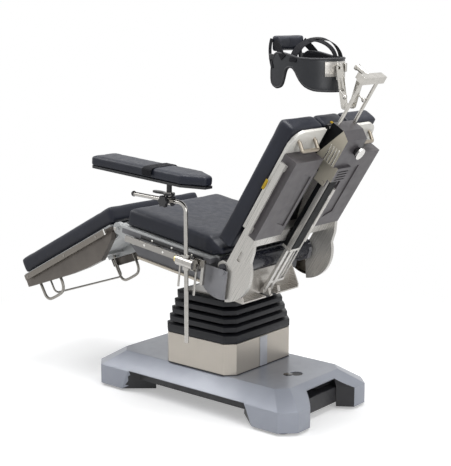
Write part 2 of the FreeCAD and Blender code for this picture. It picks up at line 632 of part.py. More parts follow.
tube_bore = bar("TubeBore", "hinge_tube+running_gap", "y", ("0", "-beam_y-60", "0"),
                "2*(beam_y+60)")
keep(cut("SeatFrame", seat_solid, pitch_bore, tube_bore), "seat_frame", seat_frame)

hinge_core = bar("HingeCore", "hinge_tube", "y", ("0", "-beam_y-beam_thick", "0"),
                 "2*(beam_y+beam_thick)")
hinge_pins = bar("HingePins", "hinge_pin", "y", ("0", "-hip_y-hip_depth+hip_wall", "0"),
                 "2*(hip_y+hip_depth-hip_wall)")
keep(fuse("TorqueTube", hinge_core, hinge_pins), "torque_tube", seat_frame)

clevis = local_place(seat_frame, size("clevis_x"), size("clevis_z"))
tray_plate = block("TrayPlate", ("tray_front", "tray_rear"), ("-tray_width/2", "tray_width/2"),
                   ("tray_w-tray_thick", "tray_w"))
tray_web = block("TrayWeb", ("tray_front", "tray_front+web_thick"),
                 ("-tray_width/2", "tray_width/2"), ("tray_w", "-50"))
tray_gusset = prism("TrayGusset", "XZ", [
    ("tray_front", "tray_w"), ("tray_rear", "tray_w"), ("tray_rear", "tray_w+10"),
    ("tray_front+web_thick", "-62"), ("tray_front", "-62"),
], "web_thick", "-tray_width/2")
lugs = []
for name, low, wide in (("Mid", "-clevis_thick/2", "clevis_thick"),
                        ("Gas", "gas_near+4.5", "gas_far-gas_near-9")):
    lugs.append(prism("Lug" + name, "XZ", [
        (f"{clevis.x}-18", "tray_w"), (f"{clevis.x}+20", "tray_w"),
        (f"{clevis.x}+11", f"{clevis.z}+9"), (f"{clevis.x}-9", f"{clevis.z}+9"),
    ], wide, low))
tray_solid = fuse("TraySolid", tray_plate, tray_web, tray_gusset,
                  mirrored("TrayGussetFar", tray_gusset), *lugs)
tray_notches = [
    block("TrayNotch" + side, (f"{clevis.x}-26", "tray_rear+5"), span, ("tray_w-20", "tray_w+2"))
    for side, span in (("Near", ("-36", "-clevis_thick/2")), ("Far", ("clevis_thick/2", "36")))
]
keep(cut("RearTray", tray_solid, *tray_notches), "rear_tray", seat_frame)

dish = bar("HipDish", "hip_radius", "y", ("0", "-hip_y-hip_depth", "0"), "hip_depth")
dish_room = bar("HipRoom", "hip_radius-4", "y", ("0", "-hip_y-hip_depth+hip_wall", "0"),
                "hip_depth")
dish_rear = block("HipRear", ("hip_edge", "hip_radius+5"), ("-hip_y-hip_depth-5", "-hip_y+5"),
                  ("-hip_radius-5", "hip_radius+5"))
dish_top = block("HipTop", ("-hip_radius-5", "hip_radius+5"),
                 ("-hip_y-hip_depth-5", "-hip_y+5"), ("deck_plate_w-strip_depth-4",
                                                       "hip_radius+5"))
hub_bolt = bar("HubBolt", "hinge_pin-4", "y", ("8", "-hip_y-hip_depth-8", "-14"), "8")
hip_shell = cut("HipShell", dish, dish_room, dish_rear, dish_top)
near_hip = fuse("NearHip", hip_shell, hub_bolt)
keep(both_sides("HipCovers", near_hip), "hip_covers", seat_frame)


def rail(name, low_u, high_u, inner_y, top_w, wall_y, places):
    """An accessory rail on round standoffs, near side."""
    flat = block(name + "Flat", (low_u, high_u), (f"-({inner_y})-rail_thick", f"-({inner_y})"),
                 (f"{top_w}-rail_height", top_w))
    posts = [
        bar(f"{name}Post{k}", "standoff_radius", "y",
            (place, f"-({inner_y})", f"{top_w}-rail_height/2"), f"({inner_y})-({wall_y})")
        for k, place in enumerate(places)
    ]
    return fuse(name, flat, *posts)


seat_rail = rail("SeatRail", "seat_rail_front", "seat_rail_rear", "seat_rail_y",
                 "seat_rail_top", "beam_y+beam_thick",
                 ["seat_rail_front+40", "seat_rail_front+165", "seat_rail_front+290"])
keep(both_sides("SeatRails", seat_rail), "seat_rails", seat_frame)

casting_arm = prism("CastingArm", "XZ", [
    ("knee_u", "knee_w-knee_radius"), ("seat_front+60", "-44"), ("seat_front+60", "-4"),
    ("seat_front-8", "-4"), ("seat_front-12", "deck_plate_w-2"),
    ("knee_u", "knee_w+knee_radius-4"),
], "casting_thick", "-casting_y-casting_thick")
casting_eye = bar("CastingEye", "knee_radius", "y",
                  ("knee_u", "-casting_y-casting_thick", "knee_w"), "casting_thick")
knee_bolt = bar("KneeBolt", "knee_pin", "y",
                ("knee_u", "-casting_y-casting_thick-4", "knee_w"),
                "casting_thick+casting_y-beam_y+4")
casting_pad = block("CastingPad", ("seat_front+14", "seat_front+60"),
                    ("-casting_y", "-beam_y-beam_thick"), ("-40", "-6"))
near_casting = fuse("NearCasting", casting_arm, casting_eye, knee_bolt, casting_pad)
keep(both_sides("KneeCastings", near_casting), "knee_castings", seat_frame)

# Leg section, drawn flat about the knee hinge

keep(prism("LegCushion", "XZ", [
    ("-leg_length", "leg_pad_w"), ("4", "leg_pad_w"), ("8", "leg_pad_w+pad_thick-3"),
    ("-leg_length-4", "leg_pad_w+pad_thick-3"),
], "pad_width", "-pad_width/2", "pad_round"), "leg_cushion", leg_frame)

leg_plate_low = "leg_pad_w-seat_gap-leg_plate_thick"
leg_plate = block("LegPlate", ("-leg_length+4", "-34"), ("-leg_cover_y", "leg_cover_y"),
                  (leg_plate_low, "leg_pad_w-seat_gap"))
leg_beam = prism("LegBeam", "XZ", [
    ("-leg_length+14", leg_plate_low), ("-leg_length+14", "4"),
    ("-440", f"{leg_plate_low}-leg_beam_depth"), ("-60", f"{leg_plate_low}-leg_beam_depth"),
    ("-18", "-20"), ("14", "-16"), ("20", "0"), ("14", "14"), ("-34", leg_plate_low),
], "beam_thick", "-beam_y-beam_thick")
knee_bore = bar("KneeBore", "knee_pin+running_gap", "y", ("0", "-beam_y-beam_thick-5", "0"),
                "beam_thick+10")
near_leg_beam = cut("NearLegBeam", leg_beam, knee_bore)
far_leg_beam = mirrored("FarLegBeam", near_leg_beam)
leg_cross = block("LegCross", ("-leg_length+112", "-leg_length+136"), ("-beam_y", "beam_y"),
                  (f"{leg_plate_low}-14", leg_plate_low))
release_pin = bar("ReleasePin", "4", "y", ("release_u-4", "-beam_y", "release_w"),
                  "beam_y-release_half+8")
keep(fuse("LegFrame", leg_plate, near_leg_beam, far_leg_beam, leg_cross, release_pin, mirrored("ReleasePinFar", release_pin)), "leg_frame",
     leg_frame)

cover_edge = [
    ("-leg_length+2", leg_plate_low), ("-leg_length+2", "-34"), ("-382", "-80"),
    ("-265", "-91"), ("-162", "-93"), ("-58", "-34"), ("-34", "-6"), ("-34", leg_plate_low),
]
cover_block = prism("LegCoverBlock", "XZ", cover_edge, "leg_cover_width+leg_cover_wall",
                    "-leg_cover_y-leg_cover_wall")
cover_room = prism("LegCoverRoom", "XZ", [
    ("-leg_length+2+leg_cover_wall", "leg_pad_w"), ("-leg_length+2+leg_cover_wall", "-31"),
    ("-382", "-77"), ("-265", "-88"), ("-164", "-90"), ("-61", "-33"),
    ("-61", "leg_pad_w"),
], "leg_cover_width+leg_cover_wall", "-leg_cover_y")
near_leg_cover = cut("NearLegCover", cover_block, cover_room)
keep(both_sides("LegCovers", near_leg_cover), "leg_covers", leg_frame)

leg_rail = rail("LegRail", "leg_rail_foot", "leg_rail_knee", "leg_rail_y", "leg_rail_top",
                "leg_cover_y+leg_cover_wall",
                ["leg_rail_foot+40", "leg_rail_foot+300", "leg_rail_knee-60"])
keep(both_sides("LegRails", leg_rail), "leg_rails", leg_frame)

loop_y = size("beam_y") + size("beam_thick") / 2
loops = []
for side, sign in (("Near", -1), ("Far", 1)):
    loops.append(bent_tube("LegLoop" + side, [
        (size("loop_foot") - 4, sign * loop_y, 8), (size("loop_foot"), sign * loop_y, -88),
        (size("loop_foot") + 32, sign * loop_y, size("loop_drop")),
        (size("loop_knee") - 26, sign * loop_y, size("loop_drop") + 2),
        (size("loop_knee"), sign * loop_y, size("loop_drop") + 34),
        (size("loop_knee") - 6, sign * loop_y, -14),
    ], 14, size("loop_radius")))
trimmed_loops = [
    cut("LoopNear", loops[0], near_leg_beam), cut("LoopFar", loops[1], far_leg_beam),
]
keep(group("LegLoops", *trimmed_loops), "leg_loops", leg_frame)

release_y = size("release_half")
release_rod = bent_tube("ReleaseRod", [
    (size("release_u") - 4, -release_y, size("release_w")),
    (size("release_u"), -release_y, size("release_drop")),
    (size("release_u"), release_y, size("release_drop")),
    (size("release_u") - 4, release_y, size("release_w")),
], 22, size("release_radius"))
release_eyes = []
release_bores = []
for side, low in (("Near", "-release_half-6"), ("Far", "release_half-6")):
    place = ("release_u-4", low, "release_w")
    release_eyes.append(bar("ReleaseEye" + side, "9", "y", place, "12"))
    release_bores.append(bar("ReleaseBore" + side, "4+running_gap", "y",
                             ("release_u-4", f"{low}-5", "release_w"), "22"))
keep(cut("LegReleaseBar", fuse("ReleaseSolid", release_rod, *release_eyes), *release_bores),
     "leg_release_bar", leg_frame)

# Back section, drawn flat about the back hinge: x up the back, +z to the patient side

pad_high = "back_pad_w+pad_thick"
for node, low, high in (
        ("shoulder_cushion_near", "-pad_width/2", "-centre_half-shoulder_gap"),
        ("back_cushion", "-centre_half", "centre_half"),
        ("shoulder_cushion_far", "centre_half+shoulder_gap", "pad_width/2")):
    body_name = node.title().replace("_", "")
    keep(prism(body_name, "XZ", [
        ("back_start", "back_pad_w"), ("back_end-2", "back_pad_w"), ("back_end", pad_high),
        ("back_start", pad_high),
    ], f"({high})-({low})", low, "pad_round"), node, back_frame)

plate_low = "back_pad_w-seat_gap-plate_thick"
plate_high = "back_pad_w-seat_gap"
for side, sign in (("near", -1), ("far", 1)):
    corner_cut = [
        ("shoulder_start", f"{sign}*(centre_half+shoulder_gap)"),
        ("shoulder_end", f"{sign}*(centre_half+shoulder_gap)"),
        ("shoulder_end", f"{sign}*(shoulder_half-58)"),
        ("shoulder_end-8", f"{sign}*(shoulder_half-34)"),
        ("shoulder_end-26", f"{sign}*(shoulder_half-12)"),
        ("shoulder_end-56", f"{sign}*shoulder_half"),
        ("shoulder_start", f"{sign}*shoulder_half"),
    ]
    plate = prism("ShoulderBoard" + side.title(), "XY", corner_cut, "plate_thick", plate_low)
    reach = size("back_pad_w") - size("seat_gap") - size("plate_thick")
    bar_w = reach - size("handle_reach")
    grip = bent_tube("ShoulderGrip" + side.title(), [
        (size("handle_u") + 14, sign * size("handle_outer"), reach + 2),
        (size("handle_u") - 12, sign * size("handle_outer"), bar_w),
        (size("handle_u") - 12, sign * size("handle_inner"), bar_w),
        (size("handle_u") + 14, sign * size("handle_inner"), reach + 2),
    ], 13, size("handle_radius"))
    keep(fuse("ShoulderPlate" + side.title(), plate, grip), "shoulder_plate_" + side, back_frame)

sector = bar("ArmSector", "arm_radius", "y", ("0", "-arm_y-arm_thick", "0"), "arm_thick")
front_half = block("ArmFront", ("-arm_radius-5", "arm_radius+5"),
                   ("-arm_y-arm_thick-5", "-arm_y+5"), ("-0.5", "arm_radius+5"))
swing_wedge = prism("ArmWedge", "XZ", [
    ("0", "0"), ("-arm_radius-20", "0"), ("-arm_radius-20", "-(arm_radius+20)*0.7"),
], "arm_thick+10", "-arm_y-arm_thick-5")
arm_blade = prism("ArmBlade", "XZ", [
    ("60", "-0.5"), ("panel_start-0.3", "-0.5"), ("panel_start-0.3", "-arm_depth-4"),
    ("150", "-arm_depth-26"), ("100", "-98"), ("60", "-100"),
], "arm_thick", "-arm_y-arm_thick")
arm_hub = bar("ArmHub", "hub_radius", "y", ("0", "-arm_y-arm_thick", "0"), "arm_thick")
arm_bore = bar("ArmBore", "hinge_pin+running_gap", "y", ("0", "-arm_y-arm_thick-5", "0"),
               "arm_thick+10")
arm_slot = block("ArmSlot", ("72", "118"), ("-arm_y-arm_thick-1", "-arm_y-arm_thick+6"),
                 ("-52", "-36"))
arm_plate = cut("ArmPlate", fuse("ArmSolid", cut("ArmDisc", sector, front_half, swing_wedge),
                                 arm_blade, arm_hub), arm_bore, arm_slot)
yoke_bar = block("YokeBar", ("yoke_start", "panel_start-0.3"), ("-arm_y", "arm_y"),
                 ("-yoke_depth", "-5"))
centre_plate = block("CentrePlate", ("yoke_start-24", "back_end-4"),
                     ("-centre_half", "centre_half"), (plate_low, plate_high))
spine_bar = block("SpineBar", ("panel_start-20", "spine_end"), ("-spine_outer", "-spine_inner"),
                  ("-40", plate_low))
yoke_web = block("YokeWeb", ("yoke_start", "panel_start-0.3"), ("-centre_half", "centre_half"),
                 ("-6", plate_low))
keep(fuse("BackYoke", arm_plate, mirrored("ArmPlateFar", arm_plate), yoke_bar, centre_plate,
          spine_bar, mirrored("SpineBarFar", spine_bar), yoke_web), "back_yoke", back_frame)

panel_skin = block("PanelSkin", ("panel_start", "panel_end"), ("-panel_outer", "-panel_inner"),
                   ("panel_back", "panel_front"))
panel_recess = prism("PanelRecess", "XY", [
    ("panel_start+70", "-panel_inner-76"), ("panel_start+48", "-panel_inner-20"),
    ("panel_end-84", "-panel_inner-20"), ("panel_end-62", "-panel_inner-76"),
], "6", "panel_back-1")
panel_room = block("PanelRoom", ("panel_start+panel_wall", "panel_end-panel_wall"),
                   ("-panel_outer+panel_wall", "-panel_inner-panel_wall"),
                   ("panel_back+10", "panel_front-panel_wall"))
near_panel = cut("NearPanel", panel_skin, panel_recess, panel_room)
spacer_near = block("PanelSpacer", ("panel_start+20", "panel_end-60"),
                    ("-panel_inner", "-spine_outer"), ("-38", "-14"))
near_panel_set = fuse("NearPanelSet", near_panel, spacer_near)
keep(both_sides("BackPanels", near_panel_set), "back_panels", back_frame)

back_rail_flat = block("BackRailFlat", ("back_rail_start", "back_rail_end"),
                       ("-back_rail_y-rail_thick", "-back_rail_y"),
                       ("back_rail_top-rail_height", "back_rail_top"))
rail_ends = [
    block(f"RailEnd{k}", (low, f"{low}+26"), ("-back_rail_y", "-panel_outer"),
          ("back_rail_top-rail_height+2", "back_rail_top-2"))
    for k, low in enumerate(("back_rail_start+8", "back_rail_end-34"))
]
near_back_rail = fuse("NearBackRail", back_rail_flat, *rail_ends)
keep(both_sides("BackRails", near_back_rail), "back_rails", back_frame)

# Head socket with the strut's upper clevis below it

socket_body = prism("SocketBody", "XZ", [
    ("socket_start", plate_low), ("socket_end", plate_low), ("socket_end", "-58"),
    ("socket_end-22", "socket_back"), ("socket_start", "socket_back"),
], "2*socket_half", "-socket_half")
rod_bores = [
    bar("RodBore" + side, "rod_radius+running_gap", "x", ("socket_start-5", place, "rod_w"),
        "socket_end-socket_start+10")
    for side, place in (("Near", "-rod_y"), ("Far", "rod_y"))
]
adjuster = block("Adjuster", ("strut_pivot_u+24", "socket_start"), ("-46", "46"),
                 ("-108", "-20"))
ribs = [
    block(f"AdjusterRib{k}", (f"strut_pivot_u+{30 + 13 * k}", f"strut_pivot_u+{36 + 13 * k}"),
          ("-30", "60"), ("-112", "-100"))
    for k in range(4)
]
pivot_ears = [
    block("PivotEar" + side, ("strut_pivot_u-12", "strut_pivot_u+24"), span,
          ("strut_pivot_w-14", "strut_pivot_w+40"))
    for side, span in (("Near", ("-strut_half-12", "-strut_half-seat_gap")),
                       ("Far", ("strut_half+seat_gap", "strut_half+12")))
]
pivot_pin = bar("PivotPin", "strut_pin", "y", ("strut_pivot_u", "-strut_half-14",
                                               "strut_pivot_w"), "2*(strut_half+14)")
keep(fuse("HeadSocket", cut("SocketDrilled", socket_body, *rod_bores),
          cut("AdjusterRibbed", adjuster, *ribs), *pivot_ears, pivot_pin),
     "head_socket", back_frame)

star_points = []
for k in range(12):
    reach_text = "knob_radius" if k % 2 == 0 else "knob_radius-5"
    angle = math.radians(30 * k)
    star_points.append((f"knob_u+({reach_text})*{math.cos(angle):.4f}",
                        f"knob_y+({reach_text})*{math.sin(angle):.4f}"))
star = prism("LockStar", "XY", star_points, "15", "socket_back-seat_gap-17")
lock_disc = bar("LockDisc", "knob_disc", "z", ("knob_u", "knob_y",
                                               "socket_back-seat_gap-25"), "8")
lock_neck = bar("LockNeck", "9", "z", ("knob_u", "knob_y", "socket_back-seat_gap-3"), "3")
keep(fuse("HeadLockKnob", star, lock_disc, lock_neck), "head_lock_knob", back_frame)

# Strut between the tray clevis and the back, drawn down its own axis from the upper pivot

strut_top = back_frame.multVec(FreeCAD.Vector(size("strut_pivot_u"), 0, size("strut_pivot_w")))
strut_run = FreeCAD.Vector(size("clevis_x"), 0, size("clevis_z")) - strut_top
strut_length = strut_run.Length
strut_frame = pitched(strut_top.x, strut_top.z,
                      math.degrees(math.atan2(-strut_run.z, strut_run.x)))
housing_box = prism("HousingBox", "YZ", [
    ("-strut_half", "-strut_depth/2"), ("strut_half", "-strut_depth/2"),
    ("strut_half", "strut_depth/2-9"), ("strut_half-9", "strut_depth/2"),
    ("-strut_half+9", "strut_depth/2"), ("-strut_half", "strut_depth/2-9"),
], "strut_low+strut_high", "-strut_high")
housing_bore = block("HousingBore", ("strut_low-strut_bore", "strut_low+5"),
                     ("-bar_outer-0.5", "bar_outer+0.5"), ("-bar_depth/2-0.5",
                                                           "bar_depth/2+0.5"))
housing_pin = bar("HousingPin", "strut_pin+running_gap", "y", ("0", "-strut_half-5", "0"),
                  "2*strut_half+10")
gas_tubes = [
    bar("GasTube" + name, "gas_radius", "x", ("50", place, "0"), "strut_low-70")
    for name, place in (("A", "gas_near"), ("B", "gas_far"))
]
gas_yoke_low = block("GasYokeLow", ("78", "96"), ("strut_half", "gas_far+6"), ("-6", "6"))
gas_yoke_high = block("GasYokeHigh", ("232", "250"), ("strut_half", "gas_far+6"), ("-6", "6"))
gas_bores = [
    bar("GasBore" + name, "gas_rod+0.2", "x", ("58", place, "0"), "strut_low")
    for name, place in (("A", "gas_near"), ("B", "gas_far"))
]
keep(cut("StrutHousing", fuse("HousingSolid", housing_box, gas_yoke_low, gas_yoke_high,
                              *gas_tubes), housing_bore, housing_pin, *gas_bores),
     "strut_housing", strut_frame)

bars = []
for side, low, high in (("Near", "-bar_outer", "-bar_inner"), ("Far", "bar_inner", "bar_outer")):
    flat = block("StrutFlat" + side, ("strut_low-strut_bore+4+bar_top", f"{strut_length}+10"),
                 (low, high), ("-bar_depth/2", "bar_depth/2"))
    bars.append(flat)
end_tie = block("StrutTie", ("strut_low-strut_bore+4+bar_top",
                             "strut_low-strut_bore+24+bar_top"),
                ("-bar_outer", "bar_outer"), ("-bar_depth/2", "bar_depth/2"))
bolt_heads = [
    bar("StrutBolt" + side, "7", "y", (f"{strut_length}", start, "0"), "5")
    for side, start in (("Near", "-bar_outer-5"), ("Far", "bar_outer"))
]
low_tie = block("StrutLowTie", (f"{strut_length}-52", f"{strut_length}-38"),
                ("-bar_outer", "gas_far+5"), ("-bar_depth/2+1", "bar_depth/2-1"))
gas_rods = [
    bar("GasRod" + name, "gas_rod", "x", ("240", place, "0"), f"{strut_length}-42-240")
    for name, place in (("A", "gas_near"), ("B", "gas_far"))
]
keep(fuse("StrutRod", end_tie, low_tie, *bars, *bolt_heads, *gas_rods), "strut_rod", strut_frame)

# Head support

cross_low = "rod_end-3"
rods = [
    bar("HeadRod" + side, "rod_radius", "x", ("rod_start", place, "rod_w"),
        "rod_end-rod_start")
    for side, place in (("Near", "-rod_y"), ("Far", "rod_y"))
]
cross_piece = block("HeadCross", (cross_low, f"{cross_low}+cross_height"),
                    ("-cross_half", "cross_half"), ("rod_w-17", "rod_w+15"))
tee = bar("HeadTee", "tee_radius", "z", ("rod_end+12", "0", "rod_w+10"), "tee_reach-rod_w-10")
tee_cap = bar("HeadTeeCap", "tee_radius+3", "z", ("rod_end+12", "0", "tee_reach"), "8")
pivot_lug = block("HeadPivotLug", ("arm_pivot_u-10", "rod_end+10"),
                  ("tee_radius-3", "arm_plate_y-seat_gap"),
                  ("arm_pivot_w-11", "arm_pivot_w+11"))
pivot_stub = bar("HeadPivotStub", "joint_pin", "y",
                 ("arm_pivot_u", "tee_radius-3", "arm_pivot_w"),
                 "arm_plate_y+link_thick+2-tee_radius+3")
keep(fuse("HeadBracket", cross_piece, tee, tee_cap, pivot_lug, pivot_stub, *rods),
     "head_bracket", back_frame)

arm_top = back_frame.multVec(FreeCAD.Vector(size("arm_pivot_u"), 0, size("arm_pivot_w")))
link_low = FreeCAD.Vector(size("link_low_x"), 0, size("link_low_z"))
link_high = FreeCAD.Vector(size("link_high_x"), 0, size("link_high_z"))


def along(start, end):
    run = end - start
    return pitched(start.x, start.z, math.degrees(math.atan2(-run.z, run.x)))


def slotted_link(name, length, low_y, pins):
    """A flat link with an eye at each end and a long slot between them."""
    flat = block(name + "Flat", ("0", length), (low_y, f"{low_y}+link_thick"),
                 ("-link_width/2", "link_width/2"))
    eyes = [
        bar(f"{name}Eye{k}", "link_width/2", "y", (place, low_y, "0"), "link_thick")
        for k, place in enumerate(("0", length))
    ]
    slot = block(name + "Slot", (f"0.3*{length}", f"0.72*{length}"),
                 (f"{low_y}-1", f"{low_y}+link_thick+1"), ("-3.5", "3.5"))
    holes = [
        bar(f"{name}Hole{k}", "joint_pin+running_gap", "y", (place, f"{low_y}-5", "0"),
            "link_thick+10")
        for k, place in enumerate(pins)
    ]
    return cut(name, fuse(name + "Solid", flat, *eyes), slot, *holes)


arm_frame = along(arm_top, link_low)
arm_run = (link_low - arm_top).Length
link_frame = along(link_low, link_high)
link_run = (link_high - link_low).Length
head_arm = slotted_link("HeadArmFlat", f"{arm_run}", "arm_plate_y", ["0"])
low_pin = bar("HeadLowPin", "joint_pin", "y", (f"{arm_run}", "link_plate_y-2", "0"),
              "arm_plate_y-link_plate_y+2")
low_collar = bar("HeadLowCollar", "joint_pin+4", "y",
                 (f"{arm_run}", "link_plate_y+link_thick+seat_gap", "0"),
                 "arm_plate_y-link_plate_y-link_thick-seat_gap")
keep(fuse("HeadArm", head_arm, low_pin, low_collar), "head_arm", arm_frame)
keep(slotted_link("HeadLink", f"{link_run}", "link_plate_y", ["0", f"{link_run}"]),
     "head_link", link_frame)


def lever(name, start, knee, tip, node, frame):
    """A thin bent lever with a ball at its tip and a boss at its foot."""
    foot = FreeCAD.Vector(*start)
    away = (FreeCAD.Vector(*knee) - foot).normalize()
    boss = Part.makeCylinder(6, 5, foot, away)
    ring = Part.Wire(Part.makeCircle(size("lever_radius"), foot, away))
    shaft = bent_path([start, knee, tip], 5).makePipeShell([ring], True, True)
    end = FreeCAD.Vector(*tip)
    grip = Part.makeSphere(size("ball_radius"), end, end - FreeCAD.Vector(*knee))
    item = doc.addObject("Part::Feature", name)
    item.Shape = boss.fuse([shaft, grip])
    return keep(item, node, frame)


gap = size("seat_gap")
link_face = size("link_plate_y") - gap
arm_face = size("arm_plate_y") + size("link_thick") + gap
lever("LinkLever", (64, link_face, 0), (64, link_face - 14, 0), (34, link_face - 16, -22),
      "link_lever", link_frame)
lever("ArmLever", (70, arm_face, 0), (70, arm_face + 6.2, 0), (84, arm_face + 5.2, 34),
      "arm_lever", arm_frame)


def helmet_plan(name, inset, low, high):
    """A rounded rear and two sides that draw in towards the front."""
    rear = doc.addObject("Part::Cylinder", name + "Round")
    bind(rear, Radius=f"helmet_half-({inset})", Height=f"({high})-({low})")
    bind_base(rear, "helmet_x", "0", low)
    sides = prism(name + "Sides", "XY", [
        ("helmet_front-5", f"-helmet_front_half+({inset})"),
        ("helmet_x", f"-helmet_half+({inset})"), ("helmet_x", f"helmet_half-({inset})"),
        ("helmet_front-5", f"helmet_front_half-({inset})"),
    ], f"({high})-({low})", low)
    return fuse(name, rear, sides)


shell_outer = helmet_plan("ShellOuter", "0", "helmet_low-30", "helmet_high+10")
shell_inner = helmet_plan("ShellInner", "helmet_wall", "helmet_low-40", "helmet_high+20")
side_view = prism("HelmetSideView", "XZ", [
    ("helmet_front", "helmet_high"), ("helmet_front+135", "helmet_high-18"),
    ("helmet_x+helmet_half+5", "helmet_high-24"), ("helmet_x+helmet_half+5", "helmet_low+12"),
    ("helmet_x+80", "helmet_low-4"), ("helmet_x+40", "helmet_low+8"),
    ("helmet_x", "helmet_low+46"), ("ear_arch_x", "helmet_low+50"),
    ("ear_arch_x-34", "helmet_low+30"), ("helmet_front+72", "helmet_low+10"),
    ("helmet_front+40", "helmet_low+8"), ("helmet_front+10", "helmet_low+34"),
    ("helmet_front", "helmet_low+70"),
], "2*helmet_half+20", "-helmet_half-10")
ear_arch = bar("EarArch", "ear_arch_radius", "y", ("ear_arch_x", "-helmet_half-20",
                                                   "ear_arch_z"), "2*helmet_half+40")
face_gap = block("FaceGap", ("helmet_front-20", "helmet_front+30"),
                 ("-helmet_front_half+14", "helmet_front_half-14"),
                 ("helmet_low-40", "helmet_high+20"))
helmet_wall = cut("HelmetWall", common("HelmetCommon",
                                       cut("HelmetTube", shell_outer, shell_inner), side_view),
                  ear_arch, face_gap)
mount_plate = block("HelmetMountPlate", ("helmet_x+helmet_half-4", "helmet_x+helmet_half+6"),
                    ("-46", "4"), ("link_high_z-44", "link_high_z+20"))
mount_pin = bar("HelmetMountPin", "joint_pin", "y",
                ("link_high_x", "link_plate_y-6", "link_high_z"),
                "link_thick+12")
mount_lug = block("HelmetMountLug", ("helmet_x+helmet_half+6", "link_high_x+9"),
                  ("link_plate_y+link_thick+seat_gap", "link_plate_y+link_thick+10"),
                  ("link_high_z-9", "link_high_z+9"))
keep(fuse("HelmetShell", helmet_wall, mount_plate, mount_lug, mount_pin), "helmet_shell")

liner_band = cut("LinerBand", helmet_plan("LinerOuter", "helmet_wall+seat_gap",
                                          "helmet_low+62", "helmet_high-30"),
                 helmet_plan("LinerInner", "helmet_wall+liner_thick", "helmet_low+50",
                             "helmet_high"))
liner_front = block("LinerFront", ("helmet_front-20", "helmet_front+62"),
                    ("-helmet_half", "helmet_half"), ("helmet_low", "helmet_high"))
liner = cut("Liner", liner_band, liner_front)
brow = prism("BrowPad", "XY", [
    ("helmet_front+16", "-94"), ("helmet_front+4", "-66"), ("helmet_front-2", "0"),
    ("helmet_front+4", "66"), ("helmet_front+16", "94"), ("helmet_front+40", "94"),
    ("helmet_front+32", "60"), ("helmet_front+26", "0"), ("helmet_front+32", "-60"),
    ("helmet_front+40", "-94"),
], "68", "helmet_high", "4")
strap_ring = cut("StrapRing", helmet_plan("StrapOuter", "-4", "helmet_low+60",
                                          "helmet_high+70"),
                 helmet_plan("StrapInner", "-seat_gap", "helmet_low+50", "helmet_high+80"))
strap_side = prism("StrapSide", "XZ", [
    ("helmet_front+14", "helmet_high+8"), ("helmet_front+14", "helmet_high+52"),
    ("helmet_front+60", "helmet_high+44"), ("helmet_x-10", "helmet_high-34"),
    ("helmet_x+26", "helmet_high-52"), ("helmet_x+26", "helmet_high-76"),
    ("helmet_x-24", "helmet_high-72"), ("helmet_front+60", "helmet_high+4"),
], "2*helmet_half+20", "-helmet_half-10")
straps = common("Straps", strap_ring, strap_side)
keep(group("HelmetPads", liner, fuse("BrowStraps", brow, straps)), "helmet_pads")

# Armboard on its post and rail clamp

clamp_u = local_place(seat_frame, size("post_x"), size("clamp_z"))
jaw = block("ClampJaw", (f"{clamp_u.x}-clamp_half", f"{clamp_u.x}+clamp_half"),
            ("-seat_rail_y-rail_thick-18", "-seat_rail_y+4"),
            ("seat_rail_top-rail_height-12", "seat_rail_top+12"))
jaw_slot = block("ClampSlot", (f"{clamp_u.x}-clamp_half-5", f"{clamp_u.x}+clamp_half+5"),
                 ("-seat_rail_y-rail_thick-seat_gap", "-seat_rail_y+seat_gap"),
                 ("seat_rail_top-rail_height-seat_gap", "seat_rail_top+seat_gap"))
jaw_mouth = block("ClampMouth", (f"{clamp_u.x}-clamp_half-5", f"{clamp_u.x}+clamp_half+5"),
                  ("-seat_rail_y-1", "-seat_rail_y+8"),
                  ("seat_rail_top-rail_height+3", "seat_rail_top-3"))
jaw_solid = cut("ClampJawCut", jaw, jaw_slot, jaw_mouth)
seat_back = seat_frame.inverse()


def upright(name, radius, low, high):
    """A vertical cylinder on the post's axis, seen from the tilted seat frame."""
    item = doc.addObject("Part::Feature", name)
    item.Shape = Part.makeCylinder(radius, high - low)
    base = FreeCAD.Vector(size("post_x"), size("post_y"), low)
    item.Placement = seat_back.multiply(FreeCAD.Placement(base, FreeCAD.Rotation()))
    return item


sleeve_low = size("clamp_z") - size("sleeve_height") / 2
sleeve_high = size("clamp_z") + size("sleeve_height") / 2
barrel = bar("ClampBarrel", "sleeve_radius+7", "x",
             (f"{clamp_u.x}-44", "post_y", f"{clamp_u.z}"), "88")
barrel_neck = block("ClampNeck", (f"{clamp_u.x}-20", f"{clamp_u.x}+20"),
                    ("post_y+12", "-seat_rail_y-rail_thick-17"),
                    (f"{clamp_u.z}-16", f"{clamp_u.z}+16"))
tee_lever_a = bar("TeeLeverA", "4.5", "z", (f"{clamp_u.x}-38", "post_y+10",
                                            f"{clamp_u.z}-116"), "108")
tee_lever_b = bar("TeeLeverB", "5", "z", (f"{clamp_u.x}+30", "-seat_rail_y-rail_thick-12",
                                          f"{clamp_u.z}-140"), "126")
side_arm = block("ClampSideArm", (f"{clamp_u.x}+12", f"{clamp_u.x}+72"),
                 ("-seat_rail_y-rail_thick-17", "-seat_rail_y-rail_thick-4"),
                 (f"{clamp_u.z}-4", f"{clamp_u.z}+20"))
side_drop = block("ClampSideDrop", (f"{clamp_u.x}+58", f"{clamp_u.x}+72"),
                  ("-seat_rail_y-rail_thick-17", "-seat_rail_y-rail_thick-4"),
                  (f"{clamp_u.z}-84", f"{clamp_u.z}-4"))
sleeve_room = upright("SleeveRoom", size("sleeve_radius") + size("running_gap"),
                      sleeve_low - 60, sleeve_high + 60)
keep(cut("RailClamp", fuse("RailClampSolid", jaw_solid, barrel, barrel_neck, side_arm,
                           side_drop, tee_lever_a, tee_lever_b), sleeve_room),
     "rail_clamp", seat_frame)
